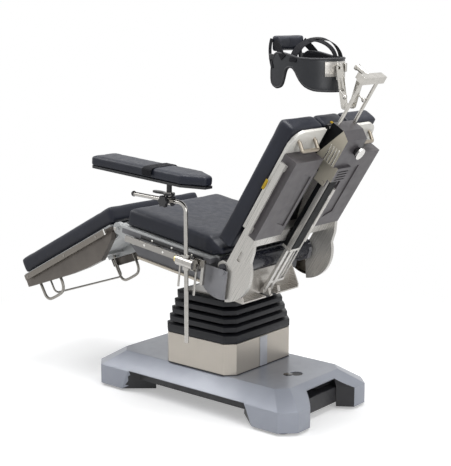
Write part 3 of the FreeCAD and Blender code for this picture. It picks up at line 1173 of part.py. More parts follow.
keep(turned("ClampKnob", [("0", "0"), ("9", "0"), ("9", "4"), ("14", "5"), ("14", "15"),
                          ("12", "17"), ("0", "17")],
            (f"{clamp_u.x}-44-seat_gap-17", "post_y", f"{clamp_u.z}"), "x"),
     "clamp_knob", seat_frame)

sleeve_outer = bar("SleeveOuter", "sleeve_radius", "z", ("post_x", "post_y", f"{sleeve_low}"),
                   f"{sleeve_high - sleeve_low}")
sleeve_flange = bar("SleeveFlange", "sleeve_radius+5", "z",
                    ("post_x", "post_y", f"{sleeve_high}-5"), "5")
sleeve_bore = bar("SleeveBore", "post_radius+running_gap", "z",
                  ("post_x", "post_y", f"{sleeve_low}-5"), f"{sleeve_high - sleeve_low}+10")
keep(cut("PostSleeve", fuse("SleeveSolid", sleeve_outer, sleeve_flange), sleeve_bore),
     "post_sleeve")

post_run = bent_tube("PostRun", [
    (size("post_x"), size("post_y"), size("post_bottom")),
    (size("post_x"), size("post_y"), size("post_top")),
    (size("post_end_x"), size("post_y"), size("post_end_z")),
], size("post_bend"), size("post_radius"))
post_cap = ball("PostCap", "post_radius+3", ("post_end_x", "post_y", "post_end_z"))
keep(fuse("ArmPost", post_run, post_cap), "arm_post")

bar_slope = (size("post_end_z") - size("post_top")) / (size("post_x") - size("post_end_x"))
bar_z = size("post_top") + (size("post_x") - size("board_x")) * bar_slope
bar_angle = math.degrees(math.atan(bar_slope))
grip_frame = FreeCAD.Placement(FreeCAD.Vector(size("board_x"), size("post_y"), bar_z),
                               FreeCAD.Rotation(FreeCAD.Vector(0, 1, 0), bar_angle))
grip_body = bar("GripBody", "post_radius+12", "x", ("-21", "0", "0"), "42")
grip_neck = bar("GripNeck", "16", "z", ("0", "0", "8"), "26")
grip_bore = bar("GripBore", "post_radius+running_gap", "x", ("-60", "0", "0"), "120")
swivel_bore = bar("SwivelBore", "swivel_radius-3+running_gap", "z", ("0", "0", "22"), "30")
keep(cut("BoardClamp", fuse("BoardClampSolid", grip_body, grip_neck), grip_bore, swivel_bore),
     "board_clamp", grip_frame)

star_outline = []
for k in range(12):
    reach_text = "star_radius" if k % 2 == 0 else "star_radius-7"
    angle = math.radians(30 * k)
    star_outline.append((f"({reach_text})*{math.cos(angle):.4f}",
                         f"({reach_text})*{math.sin(angle):.4f}"))
star_front = prism("StarKnobLobes", "XZ", star_outline, "18", "-post_radius-12-seat_gap-21")
star_neck = bar("StarKnobNeck", "9", "y", ("0", "-post_radius-12-seat_gap-3", "0"), "3")
keep(fuse("StarKnob", star_front, star_neck), "star_knob", grip_frame)

paddle = prism("PaddleBlade", "XY", [
    ("-22", "-9"), ("-60", "-13"), ("-84", "-8"), ("-84", "8"), ("-60", "13"), ("-22", "9"),
], "9", "22")
paddle_ring = bar("PaddleRing", "24", "z", ("0", "0", "22"), "9")
paddle_bore = bar("PaddleBore", "16+running_gap", "z", ("0", "0", "10"), "30")
keep(cut("BoardLever", fuse("BoardLeverSolid", paddle, paddle_ring), paddle_bore),
     "board_lever", grip_frame)

board_frame = FreeCAD.Placement(FreeCAD.Vector(size("board_x"), size("post_y"), size("board_z")),
                                FreeCAD.Rotation(FreeCAD.Vector(0, 1, 0), size("board_tilt")))


def board_outline(inset):
    low = f"board_low-board_x+({inset})"
    high = f"board_high-board_x-({inset})"
    half = f"board_half-({inset})"
    return [
        (low, f"-({half})+12"), (f"{low}+14", f"-({half})"), (f"{high}-90", f"-({half})"),
        (high, "-22"), (high, "22"), (f"{high}-90", half), (f"{low}+14", half),
        (low, f"{half}-12"),
    ]


board_plate = prism("BoardPlate", "XY", board_outline("7"), "board_plate", "0")
board_rail = block("BoardRail", ("board_low-board_x+40", "board_high-board_x-150"),
                   ("-24", "24"), ("-10", "0"))
board_body = group("BoardBody", board_plate, board_rail)
board_body.Placement = grip_frame.inverse().multiply(board_frame)
stem_top = size("board_z") - bar_z + 3
board_stem = bar("BoardStem", "swivel_radius", "z", ("0", "0", "34+seat_gap"),
                 f"{stem_top}-34-seat_gap")
board_pin = bar("BoardPin", "swivel_radius-3", "z", ("0", "0", "25"), "9+seat_gap")
keep(fuse("ArmboardPlate", board_body, board_stem, board_pin), "armboard_plate", grip_frame)
keep(prism("ArmboardPad", "XY", board_outline("0"), "board_pad", "board_plate+seat_gap", "6"),
     "armboard_pad", board_frame)

# Check every object, then write one file for each sub-part

doc.recompute()
faults = [item.Name for item in doc.Objects if "Invalid" in item.State or "Error" in item.State]
for item in subparts:
    if item.Shape.isNull() or not item.Shape.isValid():
        faults.append(item.Label)
if faults:
    raise RuntimeError("failed: " + ", ".join(faults))

os.makedirs("parts", exist_ok=True)
for item in subparts:
    item.Shape.exportStep(f"parts/{item.Label}.step")
print(len(subparts), "sub-parts")
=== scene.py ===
import json
import math
import random

import bmesh
import bpy
from mathutils import Matrix, Vector

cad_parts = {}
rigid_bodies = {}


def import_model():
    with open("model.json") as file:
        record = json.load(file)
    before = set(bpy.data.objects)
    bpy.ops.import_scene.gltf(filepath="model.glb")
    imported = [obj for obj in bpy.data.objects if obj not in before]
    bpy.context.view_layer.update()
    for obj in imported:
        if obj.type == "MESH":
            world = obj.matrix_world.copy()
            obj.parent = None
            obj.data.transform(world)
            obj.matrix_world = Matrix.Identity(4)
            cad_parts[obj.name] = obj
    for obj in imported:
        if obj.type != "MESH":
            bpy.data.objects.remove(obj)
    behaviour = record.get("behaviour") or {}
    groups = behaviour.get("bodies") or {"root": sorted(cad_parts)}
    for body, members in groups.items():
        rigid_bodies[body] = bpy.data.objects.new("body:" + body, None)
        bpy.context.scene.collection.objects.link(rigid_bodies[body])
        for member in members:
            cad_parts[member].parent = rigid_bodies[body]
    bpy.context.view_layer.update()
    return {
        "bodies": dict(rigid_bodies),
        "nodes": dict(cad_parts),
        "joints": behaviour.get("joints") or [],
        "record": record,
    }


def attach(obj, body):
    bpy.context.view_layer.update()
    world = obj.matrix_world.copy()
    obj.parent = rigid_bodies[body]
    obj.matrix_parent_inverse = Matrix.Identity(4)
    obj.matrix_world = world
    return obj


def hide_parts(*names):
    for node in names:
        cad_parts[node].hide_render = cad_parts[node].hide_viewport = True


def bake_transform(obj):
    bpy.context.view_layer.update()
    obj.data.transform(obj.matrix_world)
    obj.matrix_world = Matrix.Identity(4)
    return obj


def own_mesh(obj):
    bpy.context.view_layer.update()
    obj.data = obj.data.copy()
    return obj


# Places and sizes, in metres: x towards the head end, y to the far side, z up

HINGE = Vector((0.212, 0.0, 0.645))
SEAT_ANGLE = math.radians(8)
BACK_ANGLE = math.radians(-58)
LEG_ANGLE = math.radians(-28)
PAD_HALF = 0.3
PAD_SKIN = 0.0035
LOOP_Y = 0.251
BOARD_PAD_LOW = 0.0108
BOARD_PAD_HIGH = 0.049
HELD_HEIGHT = 0.004
STRAP_THICK = 0.0022
SIDES = (("Near", -1.0), ("Far", 1.0))


def pitched(origin, angle):
    """A section's frame: x along the section, z square to it."""
    return Matrix.Translation(origin) @ Matrix.Rotation(angle, 4, "Y")


def span(sign, first, second):
    """Low and high y of a piece on the near or far side."""
    return min(sign * first, sign * second), max(sign * first, sign * second)


SEAT = pitched(HINGE, SEAT_ANGLE)
BACK = pitched(HINGE, BACK_ANGLE)
KNEE = SEAT @ Vector((-0.609, 0.0, 0.005))
LEG = pitched(KNEE, LEG_ANGLE)
WORLD = Matrix.Identity(4)
STRUT_TOP = BACK @ Vector((0.46, 0.0, -0.075))
STRUT_FOOT = Vector((0.212, 0.0, 0.503))
STRUT_RUN = STRUT_FOOT - STRUT_TOP
STRUT = pitched(STRUT_TOP, math.atan2(-STRUT_RUN.z, STRUT_RUN.x))
BOARD = pitched(Vector((-0.008, -0.37, 0.99)), math.radians(4))


# Materials


def new_material(name):
    mat = bpy.data.materials.new(name)
    mat.use_nodes = True
    nodes = mat.node_tree.nodes
    return mat, nodes, mat.node_tree.links, nodes["Principled BSDF"]


def noise_value(nodes, links, source, scale, detail=3.0, rough=0.55):
    noise = nodes.new("ShaderNodeTexNoise")
    noise.inputs["Scale"].default_value = scale
    noise.inputs["Detail"].default_value = detail
    noise.inputs["Roughness"].default_value = rough
    links.new(source, noise.inputs["Vector"])
    return noise.outputs["Fac"]


def mapped(nodes, links, source, scale):
    """Coordinates stretched along each axis, for brushed and woven marks."""
    mapping = nodes.new("ShaderNodeMapping")
    mapping.inputs["Scale"].default_value = scale
    links.new(source, mapping.inputs["Vector"])
    return mapping.outputs["Vector"]


def remap(nodes, links, source, low, high):
    ramp = nodes.new("ShaderNodeMapRange")
    ramp.inputs["From Min"].default_value = 0.3
    ramp.inputs["From Max"].default_value = 0.7
    ramp.inputs["To Min"].default_value = low
    ramp.inputs["To Max"].default_value = high
    links.new(source, ramp.inputs["Value"])
    return ramp.outputs["Result"]


def mixed(nodes, links, fac, first, second):
    """A colour between two, each a tuple or a socket."""
    mix = nodes.new("ShaderNodeMix")
    mix.data_type = "RGBA"
    links.new(fac, mix.inputs["Factor"])
    for name, value in (("A", first), ("B", second)):
        socket = [s for s in mix.inputs if s.name == name and s.type == "RGBA"][0]
        if isinstance(value, tuple):
            socket.default_value = (*value, 1.0)
        else:
            links.new(value, socket)
    return [s for s in mix.outputs if s.type == "RGBA"][0]


def math_node(nodes, links, operation, first, second):
    node = nodes.new("ShaderNodeMath")
    node.operation = operation
    for k, value in enumerate((first, second)):
        if isinstance(value, (int, float)):
            node.inputs[k].default_value = value
        else:
            links.new(value, node.inputs[k])
    return node.outputs[0]


def add_bump(nodes, links, shader, height, strength, distance, edge=0.0012):
    soft = nodes.new("ShaderNodeBevel")
    soft.samples = 4
    soft.inputs["Radius"].default_value = edge
    bump = nodes.new("ShaderNodeBump")
    links.new(soft.outputs["Normal"], bump.inputs["Normal"])
    bump.inputs["Strength"].default_value = strength
    bump.inputs["Distance"].default_value = distance
    links.new(height, bump.inputs["Height"])
    links.new(bump.outputs["Normal"], shader.inputs["Normal"])


def coordinates(nodes):
    return nodes.new("ShaderNodeTexCoord").outputs["Object"]


def section_coordinates(nodes, links, frame):
    """Object coordinates seen from a section's frame."""
    mapping = nodes.new("ShaderNodeMapping")
    mapping.vector_type = "TEXTURE"
    mapping.inputs["Location"].default_value = frame.to_translation()
    mapping.inputs["Rotation"].default_value = frame.to_euler()
    links.new(coordinates(nodes), mapping.inputs["Vector"])
    return mapping.outputs["Vector"]


def paint(name, color, dark, rough=0.35, metal=0.0, grain=900.0, grain_depth=0.00008):
    """Sprayed paint: slight mottling, fine orange peel and duller handled spots."""
    mat, nodes, links, shader = new_material(name)
    where = coordinates(nodes)
    broad = noise_value(nodes, links, where, 7.0, 4.0)
    color_out = mixed(nodes, links, remap(nodes, links, broad, 0.0, 1.0), dark, color)
    links.new(color_out, shader.inputs["Base Color"])
    smudge = noise_value(nodes, links, where, 26.0, 5.0)
    links.new(remap(nodes, links, smudge, rough - 0.05, rough + 0.09),
              shader.inputs["Roughness"])
    shader.inputs["Metallic"].default_value = metal
    peel = noise_value(nodes, links, where, grain, 2.0)
    add_bump(nodes, links, shader, peel, 0.35, grain_depth)
    return mat


def flake_paint(name, color, dark):
    """Metallic paint: flakes that sparkle faintly under a clear coat."""
    mat, nodes, links, shader = new_material(name)
    where = coordinates(nodes)
    flakes = nodes.new("ShaderNodeTexVoronoi")
    flakes.inputs["Scale"].default_value = 1400.0
    links.new(where, flakes.inputs["Vector"])
    broad = noise_value(nodes, links, where, 4.0, 3.0)
    base = mixed(nodes, links, remap(nodes, links, broad, 0.0, 1.0), dark, color)
    shade = mixed(nodes, links, remap(nodes, links, flakes.outputs["Distance"], 0.85, 1.0),
                  dark, base)
    links.new(shade, shader.inputs["Base Color"])
    shader.inputs["Metallic"].default_value = 0.2
    links.new(remap(nodes, links, noise_value(nodes, links, where, 30.0, 4.0), 0.3, 0.38),
              shader.inputs["Roughness"])
    shader.inputs["Coat Weight"].default_value = 0.35
    shader.inputs["Coat Roughness"].default_value = 0.12
    add_bump(nodes, links, shader, noise_value(nodes, links, where, 500.0, 2.0), 0.2, 0.00006,
             0.006)
    return mat


def brushed(name, color, dark, stretch=(4.0, 500.0, 500.0), rough=0.3, frame=WORLD, metal=0.7):
    """Brushed metal: streaks along one direction with faint smears across them."""
    mat, nodes, links, shader = new_material(name)
    where = section_coordinates(nodes, links, frame)
    streaks = noise_value(nodes, links, mapped(nodes, links, where, stretch), 1.0, 4.0)
    smears = noise_value(nodes, links, where, 14.0, 4.0)
    tone = math_node(nodes, links, "ADD", math_node(nodes, links, "MULTIPLY", streaks, 0.55),
                     math_node(nodes, links, "MULTIPLY", smears, 0.45))
    links.new(mixed(nodes, links, remap(nodes, links, tone, 0.25, 0.75), dark, color),
              shader.inputs["Base Color"])
    shader.inputs["Metallic"].default_value = metal
    links.new(remap(nodes, links, streaks, rough - 0.03, rough + 0.04),
              shader.inputs["Roughness"])
    add_bump(nodes, links, shader, streaks, 0.05, 0.00003)
    return mat


def polished(name, color, rough=0.1):
    """Polished steel with soft handling marks."""
    mat, nodes, links, shader = new_material(name)
    where = coordinates(nodes)
    marks = noise_value(nodes, links, where, 45.0, 5.0)
    dark = tuple(c * 0.82 for c in color)
    links.new(mixed(nodes, links, remap(nodes, links, marks, 0.0, 1.0), dark, color),
              shader.inputs["Base Color"])
    shader.inputs["Metallic"].default_value = 1.0
    links.new(remap(nodes, links, marks, rough, rough + 0.1), shader.inputs["Roughness"])
    add_bump(nodes, links, shader, noise_value(nodes, links, where, 60.0, 2.0), 0.04, 0.0001)
    return mat


def vinyl(name, color, light, rough=0.42):
    """Coated upholstery: pebbled grain, soft creases and a satin sheen."""
    mat, nodes, links, shader = new_material(name)
    where = coordinates(nodes)
    broad = noise_value(nodes, links, where, 5.0, 4.0)
    links.new(mixed(nodes, links, remap(nodes, links, broad, 0.0, 1.0), color, light),
              shader.inputs["Base Color"])
    links.new(remap(nodes, links, noise_value(nodes, links, where, 40.0, 4.0), rough - 0.05,
                    rough + 0.08), shader.inputs["Roughness"])
    shader.inputs["Specular IOR Level"].default_value = 0.3
    cells = nodes.new("ShaderNodeTexVoronoi")
    cells.inputs["Scale"].default_value = 620.0
    links.new(where, cells.inputs["Vector"])
    creases = noise_value(nodes, links, where, 22.0, 5.0)
    height = math_node(nodes, links, "ADD",
                       math_node(nodes, links, "MULTIPLY", cells.outputs["Distance"], 0.25),
                       creases)
    add_bump(nodes, links, shader, height, 0.35, 0.0016)
    return mat


def webbing(name, color, light):
    """Woven strap: ribs across and along."""
    mat, nodes, links, shader = new_material(name)
    where = coordinates(nodes)
    wave = nodes.new("ShaderNodeTexWave")
    wave.inputs["Scale"].default_value = 260.0
    wave.inputs["Distortion"].default_value = 0.6
    links.new(where, wave.inputs["Vector"])
    fuzz = noise_value(nodes, links, where, 700.0, 3.0)
    tone = math_node(nodes, links, "MULTIPLY", wave.outputs["Fac"], fuzz)
    links.new(mixed(nodes, links, remap(nodes, links, tone, 0.0, 1.0), color, light),
              shader.inputs["Base Color"])
    shader.inputs["Roughness"].default_value = 0.85
    shader.inputs["Specular IOR Level"].default_value = 0.2
    add_bump(nodes, links, shader, wave.outputs["Fac"], 0.5, 0.0006)
    return mat


def plastic(name, color, light, rough=0.35, grain=300.0, shine=0.5):
    """Moulded plastic with a faint spark-eroded texture."""
    mat, nodes, links, shader = new_material(name)
    where = coordinates(nodes)
    broad = noise_value(nodes, links, where, 9.0, 3.0)
    links.new(mixed(nodes, links, remap(nodes, links, broad, 0.0, 1.0), color, light),
              shader.inputs["Base Color"])
    links.new(remap(nodes, links, noise_value(nodes, links, where, 55.0, 3.0), rough - 0.05,
                    rough + 0.1), shader.inputs["Roughness"])
    shader.inputs["Specular IOR Level"].default_value = shine
    add_bump(nodes, links, shader, noise_value(nodes, links, where, grain, 3.0), 0.25, 0.0002)
    return mat


def recolor(node, mat, chosen):
    """Gives the faces of a CAD node that pass a test their own finish."""
    mesh = nodes_by_name[node].data
    mesh.materials.append(mat)
    slot_index = len(mesh.materials) - 1
    for polygon in mesh.polygons:
        if chosen(polygon.center, polygon.normal):
            polygon.material_index = slot_index


# Meshes


def link(obj):
    bpy.context.scene.collection.objects.link(obj)
    return obj


def mesh_object(name, build):
    """A mesh piece from a function that fills a bmesh."""
    bm = bmesh.new()
    build(bm)
    bmesh.ops.recalc_face_normals(bm, faces=bm.faces)
    mesh = bpy.data.meshes.new(name)
    bm.to_mesh(mesh)
    bm.free()
    return link(bpy.data.objects.new(name, mesh))


def smooth(obj, angle=40.0):
    for polygon in obj.data.polygons:
        polygon.use_smooth = True
    obj.data.set_sharp_from_angle(angle=math.radians(angle))


def apply_modifiers(obj):
    graph = bpy.context.evaluated_depsgraph_get()
    mesh = bpy.data.meshes.new_from_object(obj.evaluated_get(graph))
    obj.modifiers.clear()
    obj.data = mesh


def close_rings(bm, rings):
    """Caps two rings of points and joins them with faces."""
    count = len(rings[0])
    bm.faces.new(rings[0])
    bm.faces.new(list(reversed(rings[1])))
    for k in range(count):
        bm.faces.new((rings[0][k], rings[1][k], rings[1][(k + 1) % count],
                      rings[0][(k + 1) % count]))


def add_prism(bm, outline, low, high, frame=WORLD):
    """A polygon in a section's x-z plane, drawn out along y."""
    rings = []
    for y in (low, high):
        rings.append([bm.verts.new(frame @ Vector((u, y, w))) for u, w in outline])
    close_rings(bm, rings)


def add_box(bm, low, high, frame=WORLD):
    outline = [(low[0], low[2]), (high[0], low[2]), (high[0], high[2]), (low[0], high[2])]
    add_prism(bm, outline, low[1], high[1], frame)


def add_slab(bm, outline, low, high):
    """A plan outline drawn out along z."""
    rings = []
    for z in (low, high):
        rings.append([bm.verts.new((x, y, z)) for x, y in outline])
    close_rings(bm, rings)


def add_rod(bm, start, end, radius, sides=20):
    axis = (end - start).normalized()
    side = axis.orthogonal().normalized()
    other = axis.cross(side)
    rings = []
    for centre in (start, end):
        ring = []
        for k in range(sides):
            turn = 2 * math.pi * k / sides
            ring.append(bm.verts.new(centre + radius * (side * math.cos(turn)
                                                        + other * math.sin(turn))))
        rings.append(ring)
    bm.faces.new(rings[0])
    bm.faces.new(list(reversed(rings[1])))
    for k in range(sides):
        bm.faces.new((rings[0][k], rings[0][(k + 1) % sides], rings[1][(k + 1) % sides],
                      rings[1][k]))


def bevelled(obj, width, segments=3, angle=30.0):
    bevel = obj.modifiers.new("Edges", "BEVEL")
    bevel.width = width
    bevel.segments = segments
    bevel.limit_method = "ANGLE"
    bevel.angle_limit = math.radians(angle)
    apply_modifiers(obj)
    smooth(obj)


def even_faces(obj, voxel):
    """Remeshes a cover into even faces, as the simulation needs."""
    remesh = obj.modifiers.new("Even", "REMESH")
    remesh.mode = "VOXEL"
    remesh.voxel_size = voxel


def finished(obj, mat, body):
    obj.data.materials.clear()
    obj.data.materials.append(mat)
    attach(obj, body)
    return obj


def rounded_block(name, low, high, frame, radius, mat, body, segments=3):
    obj = mesh_object(name, lambda bm: add_box(bm, low, high, frame))
    bevelled(obj, radius, segments)
    finished(obj, mat, body)


def screw(name, place, axis, radius, height, mat, body, frame=WORLD):
    """A round bolt head with a softened edge."""
    start = frame @ Vector(place)
    end = frame @ (Vector(place) + Vector(axis) * height)
    obj = mesh_object(name, lambda bm: add_rod(bm, start, end, radius, 18))
    bevelled(obj, min(radius, height) * 0.35, 2)
    finished(obj, mat, body)


def tube_piece(name, points, radius, mat, body, order=3):
    """A round wire or bent bar guided by points, as a smooth curve."""
    curve = bpy.data.curves.new(name, "CURVE")
    curve.dimensions = "3D"
    curve.bevel_depth = radius
    curve.bevel_resolution = 5
    curve.use_fill_caps = True
    spline = curve.splines.new("NURBS")
    spline.points.add(len(points) - 1)
    for point, place in zip(spline.points, points):
        point.co = (*place, 1.0)
    spline.order_u = order
    spline.use_endpoint_u = True
    obj = link(bpy.data.objects.new(name, curve))
    curve.materials.append(mat)
    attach(obj, body)
    return obj


def strap_piece(name, points, normals, width, thick, mat, body):
    """A flat band that follows points, lying square to the given normals."""

    def build(bm):
        rings = []
        for k, (point, normal) in enumerate(zip(points, normals)):
            before = points[max(k - 1, 0)]
            after = points[min(k + 1, len(points) - 1)]
            run = (after - before).normalized()
            up = normal.normalized()
            side = run.cross(up).normalized() * (width / 2)
            lift = up * (thick / 2)
            rings.append([bm.verts.new(point + side + lift), bm.verts.new(point - side + lift),
                          bm.verts.new(point - side - lift), bm.verts.new(point + side - lift)])
        for first, second in zip(rings, rings[1:]):
            for k in range(4):
                bm.faces.new((first[k], first[(k + 1) % 4], second[(k + 1) % 4], second[k]))
        bm.faces.new(rings[0])
        bm.faces.new(list(reversed(rings[-1])))

    obj = mesh_object(name, build)
    smooth_mod = obj.modifiers.new("Soft", "SUBSURF")
    smooth_mod.levels = 2
    crease = obj.data.attributes.new("crease_edge", "FLOAT", "EDGE")
    crease.data.foreach_set("value", [0.6] * len(obj.data.edges))
    apply_modifiers(obj)
    smooth(obj, 60.0)
    return finished(obj, mat, body)


# Cushions


def pad_mesh(name, outline, low, high, frame, radius, voxel):
    """A cushion's starting block, slightly small, with rounded edges and even faces."""

    def build(bm):
        centre_u = sum(u for u, _ in outline) / len(outline)
        centre_w = sum(w for _, w in outline) / len(outline)
        shrunk = []
        for u, w in outline:
            shrunk.append((u - math.copysign(PAD_SKIN, u - centre_u),
                           w - math.copysign(PAD_SKIN * 0.6, w - centre_w)))
        add_prism(bm, shrunk, low + PAD_SKIN, high - PAD_SKIN)

    obj = mesh_object(name, build)
    bevelled(obj, radius, 3, 20.0)
    even_faces(obj, voxel)
    apply_modifiers(obj)
    obj.matrix_world = frame
    return obj


def inflate(obj, cap, floor_w, pressure=4.0, frames=16):
    """Fills the cover like a foam block: simulated, capped, and flat where it is held."""
    start = [v.co.copy() for v in obj.data.vertices]
    cloth = obj.modifiers.new("Fill", "CLOTH")
    cloth.settings.use_pressure = True
    cloth.settings.uniform_pressure_force = pressure
    cloth.settings.effector_weights.gravity = 0.0
    cloth.settings.quality = 5
    cloth.settings.tension_stiffness = 22.0
    cloth.settings.compression_stiffness = 22.0
    cloth.settings.bending_stiffness = 0.6
    cloth.point_cache.frame_start = 1
    cloth.point_cache.frame_end = frames
    for frame in range(1, frames + 1):
        bpy.context.scene.frame_set(frame)
    apply_modifiers(obj)
    bpy.context.scene.frame_set(1)
    for vertex, before in zip(obj.data.vertices, start):
        move = vertex.co - before
        if move.length > cap:
            move = move.normalized() * cap
        if before.z < floor_w + HELD_HEIGHT:
            move.z = 0.0
        vertex.co = before + move
    obj.data.update()


def crease_pad(obj, lines, depth):
    """Presses soft folds into a cover: each line is (centre, direction, width, reach)."""
    for vertex in obj.data.vertices:
        push = 0.0
        for centre, across, width, reach in lines:
            offset = vertex.co - centre
            near = offset.dot(across)
            rest = (offset - across * near).length
            fade = max(0.0, 1.0 - rest / reach)
            push += math.exp(-((near / width) ** 2)) * fade
        vertex.co -= vertex.normal * depth * push
    obj.data.update()


def pad(name, node, outline, low, high, frame, mat, body, cap=0.006, radius=0.011, voxel=0.009,
        lines=(), depth=0.002):
    """A whole cushion that stands for its CAD block."""
    floor_w = min(w for _, w in outline)
    obj = pad_mesh(name, outline, low, high, frame, radius, voxel)
    inflate(obj, cap, floor_w)
    if lines:
        crease_pad(obj, lines, depth)
    soft = obj.modifiers.new("Soft", "SMOOTH")
    soft.factor = 0.5
    soft.iterations = 4
    detail = obj.modifiers.new("Detail", "SUBSURF")
    detail.levels = 1
    apply_modifiers(obj)
    smooth(obj, 80.0)
    finished(obj, mat, body)
    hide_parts(node)


# Scene

bpy.ops.object.select_all(action="SELECT")
bpy.ops.object.delete()
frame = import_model()
nodes_by_name = frame["nodes"]

ALONG = (5.0, 600.0, 600.0)
SILVER = flake_paint("SilverPaint", (0.315, 0.335, 0.385), (0.255, 0.272, 0.32))
BLACK_COAT = paint("BlackCoat", (0.018, 0.018, 0.021), (0.010, 0.010, 0.012), 0.45)
RUBBER = plastic("Rubber", (0.014, 0.014, 0.016), (0.030, 0.030, 0.034), 0.6, 500.0)
BELLOWS_SKIN = plastic("BellowsSkin", (0.0050, 0.0053, 0.0070), (0.0100, 0.0105, 0.0135), 0.4,
                       240.0, 0.3)
STAINLESS = brushed("Stainless", (0.47, 0.435, 0.385), (0.38, 0.35, 0.31), (500.0, 500.0, 6.0),
                    0.36)
STEEL = brushed("SatinSteel", (0.48, 0.46, 0.43), (0.40, 0.385, 0.36))
SEAT_STEEL = brushed("SeatSteel", (0.40, 0.385, 0.36), (0.33, 0.315, 0.295), ALONG, 0.3, SEAT,
                     0.55)
TRAY_STEEL = brushed("TraySteel", (0.56, 0.535, 0.50), (0.48, 0.455, 0.42), ALONG, 0.26, SEAT,
                     0.5)
BACK_STEEL = brushed("BackSteel", (0.56, 0.545, 0.515), (0.49, 0.475, 0.445),
                     ALONG, 0.28, BACK, 0.45)
HEAD_STEEL = polished("HeadSteel", (0.60, 0.58, 0.54), 0.2)
LEG_STEEL = brushed("LegSteel", (0.235, 0.215, 0.19), (0.165, 0.15, 0.132),
                    (5.0, 400.0, 400.0), 0.34, LEG)
STRUT_STEEL = brushed("StrutSteel", (0.60, 0.58, 0.55), (0.50, 0.485, 0.455),
                      ALONG, 0.26, STRUT, 0.4)
CHROME = polished("Chrome", (0.47, 0.455, 0.43), 0.12)
MIRROR = polished("MirrorSteel", (0.26, 0.235, 0.20), 0.08)
LOOP_CHROME = polished("LoopChrome", (0.30, 0.285, 0.26), 0.2)
BRASS = polished("Brass", (0.80, 0.62, 0.27), 0.16)
SEAT_PAINT = paint("SeatPaint", (0.165, 0.165, 0.175), (0.125, 0.125, 0.135), 0.4)
BEIGE_METAL = brushed("BeigeMetal", (0.52, 0.47, 0.40), (0.42, 0.38, 0.32),
                      (5.0, 300.0, 300.0), 0.42, SEAT)
LIGHT_GREY = paint("LightGrey", (0.48, 0.49, 0.49), (0.38, 0.39, 0.39), 0.35, 0.3)
HIP_PAINT = paint("HipPaint", (0.26, 0.26, 0.275), (0.20, 0.20, 0.215), 0.3, 0.25)
PANEL_PAINT = paint("PanelPaint", (0.088, 0.080, 0.085), (0.062, 0.056, 0.060), 0.42)
COVER_PAINT = paint("CoverPaint", (0.150, 0.132, 0.115), (0.105, 0.092, 0.080), 0.34, 0.35)
WHITE_PAINT = paint("WhitePaint", (0.76, 0.745, 0.70), (0.66, 0.645, 0.60), 0.3)
HANDLE_METAL = polished("HandleMetal", (0.42, 0.375, 0.31), 0.34)
TUBE_BLACK = plastic("TubeBlack", (0.012, 0.013, 0.020), (0.020, 0.021, 0.031), 0.22)
STRUT_BLACK = plastic("StrutBlack", (0.0035, 0.0038, 0.0045), (0.0060, 0.0062, 0.0072), 0.5,
                      300.0, 0.12)
VINYL = vinyl("Vinyl", (0.0080, 0.0095, 0.0165), (0.0145, 0.0170, 0.0280))
HELMET_SKIN = plastic("HelmetSkin", (0.0125, 0.014, 0.0175), (0.019, 0.0205, 0.0245), 0.34,
                      250.0, 0.4)
STRAP = webbing("Strap", (0.007, 0.007, 0.009), (0.017, 0.017, 0.021))
DARK_PLASTIC = plastic("DarkPlastic", (0.010, 0.010, 0.011), (0.024, 0.024, 0.026), 0.3)
GLOSS_BLACK = plastic("GlossBlack", (0.006, 0.006, 0.007), (0.012, 0.012, 0.013), 0.16)
YELLOW = webbing("YellowCloth", (0.55, 0.36, 0.03), (0.78, 0.54, 0.07))
SCREW = polished("ScrewHeads", (0.85, 0.84, 0.81), 0.2)
SOCKET_PAINT = paint("SocketPaint", (0.105, 0.098, 0.104), (0.072, 0.067, 0.072), 0.36, 0.25)
SOCKET_STEEL = brushed("SocketSteel", (0.56, 0.52, 0.43), (0.49, 0.455, 0.375),
                       ALONG, 0.34, BACK, 0.25)
STRIP_GREY = paint("StripGrey", (0.46, 0.47, 0.50), (0.40, 0.41, 0.44), 0.4, 0.2)

NODE_FINISH = {
    "base_cover": SILVER, "base_frame": BLACK_COAT, "brake_feet": RUBBER,
    "column_shroud": STAINLESS, "column_outer": STEEL, "column_mid": STEEL, "lift_head": STEEL,
    "lift_ram": BLACK_COAT, "tilt_cradle": BLACK_COAT, "seat_deck": LIGHT_GREY,
    "seat_rails": SEAT_STEEL, "torque_tube": TUBE_BLACK, "rear_tray": TRAY_STEEL,
    "knee_castings": LIGHT_GREY, "back_yoke": BACK_STEEL, "back_panels": PANEL_PAINT,
    "back_rails": BACK_STEEL, "head_socket": SOCKET_PAINT, "strut_rod": STRUT_STEEL,
    "head_lock_knob": DARK_PLASTIC, "head_bracket": HEAD_STEEL, "head_arm": HEAD_STEEL,
    "head_link": HEAD_STEEL, "arm_lever": CHROME, "link_lever": CHROME, "leg_frame": LIGHT_GREY,
    "leg_covers": COVER_PAINT, "leg_rails": LEG_STEEL, "leg_loops": LOOP_CHROME,
    "leg_release_bar": LOOP_CHROME, "rail_clamp": CHROME, "clamp_knob": BRASS,
    "post_sleeve": CHROME, "arm_post": CHROME, "board_clamp": CHROME,
    "star_knob": DARK_PLASTIC, "board_lever": DARK_PLASTIC, "armboard_plate": BLACK_COAT,
    "seat_frame": SEAT_PAINT, "hip_covers": HIP_PAINT, "strut_housing": STRUT_BLACK,
    "shoulder_plate_near": WHITE_PAINT, "shoulder_plate_far": WHITE_PAINT,
    "bellows": BELLOWS_SKIN, "helmet_shell": HELMET_SKIN, "helmet_pads": HELMET_SKIN,
}
for node_name, obj in nodes_by_name.items():
    if node_name in NODE_FINISH:
        finish = NODE_FINISH[node_name]
    elif node_name.startswith("castor_wheel"):
        finish = RUBBER
    else:
        finish = BLACK_COAT
    obj.data.materials.clear()
    obj.data.materials.append(finish)

SEAT_BACK = SEAT.inverted()
BACK_BACK = BACK.inverted()
LEG_BACK = LEG.inverted()

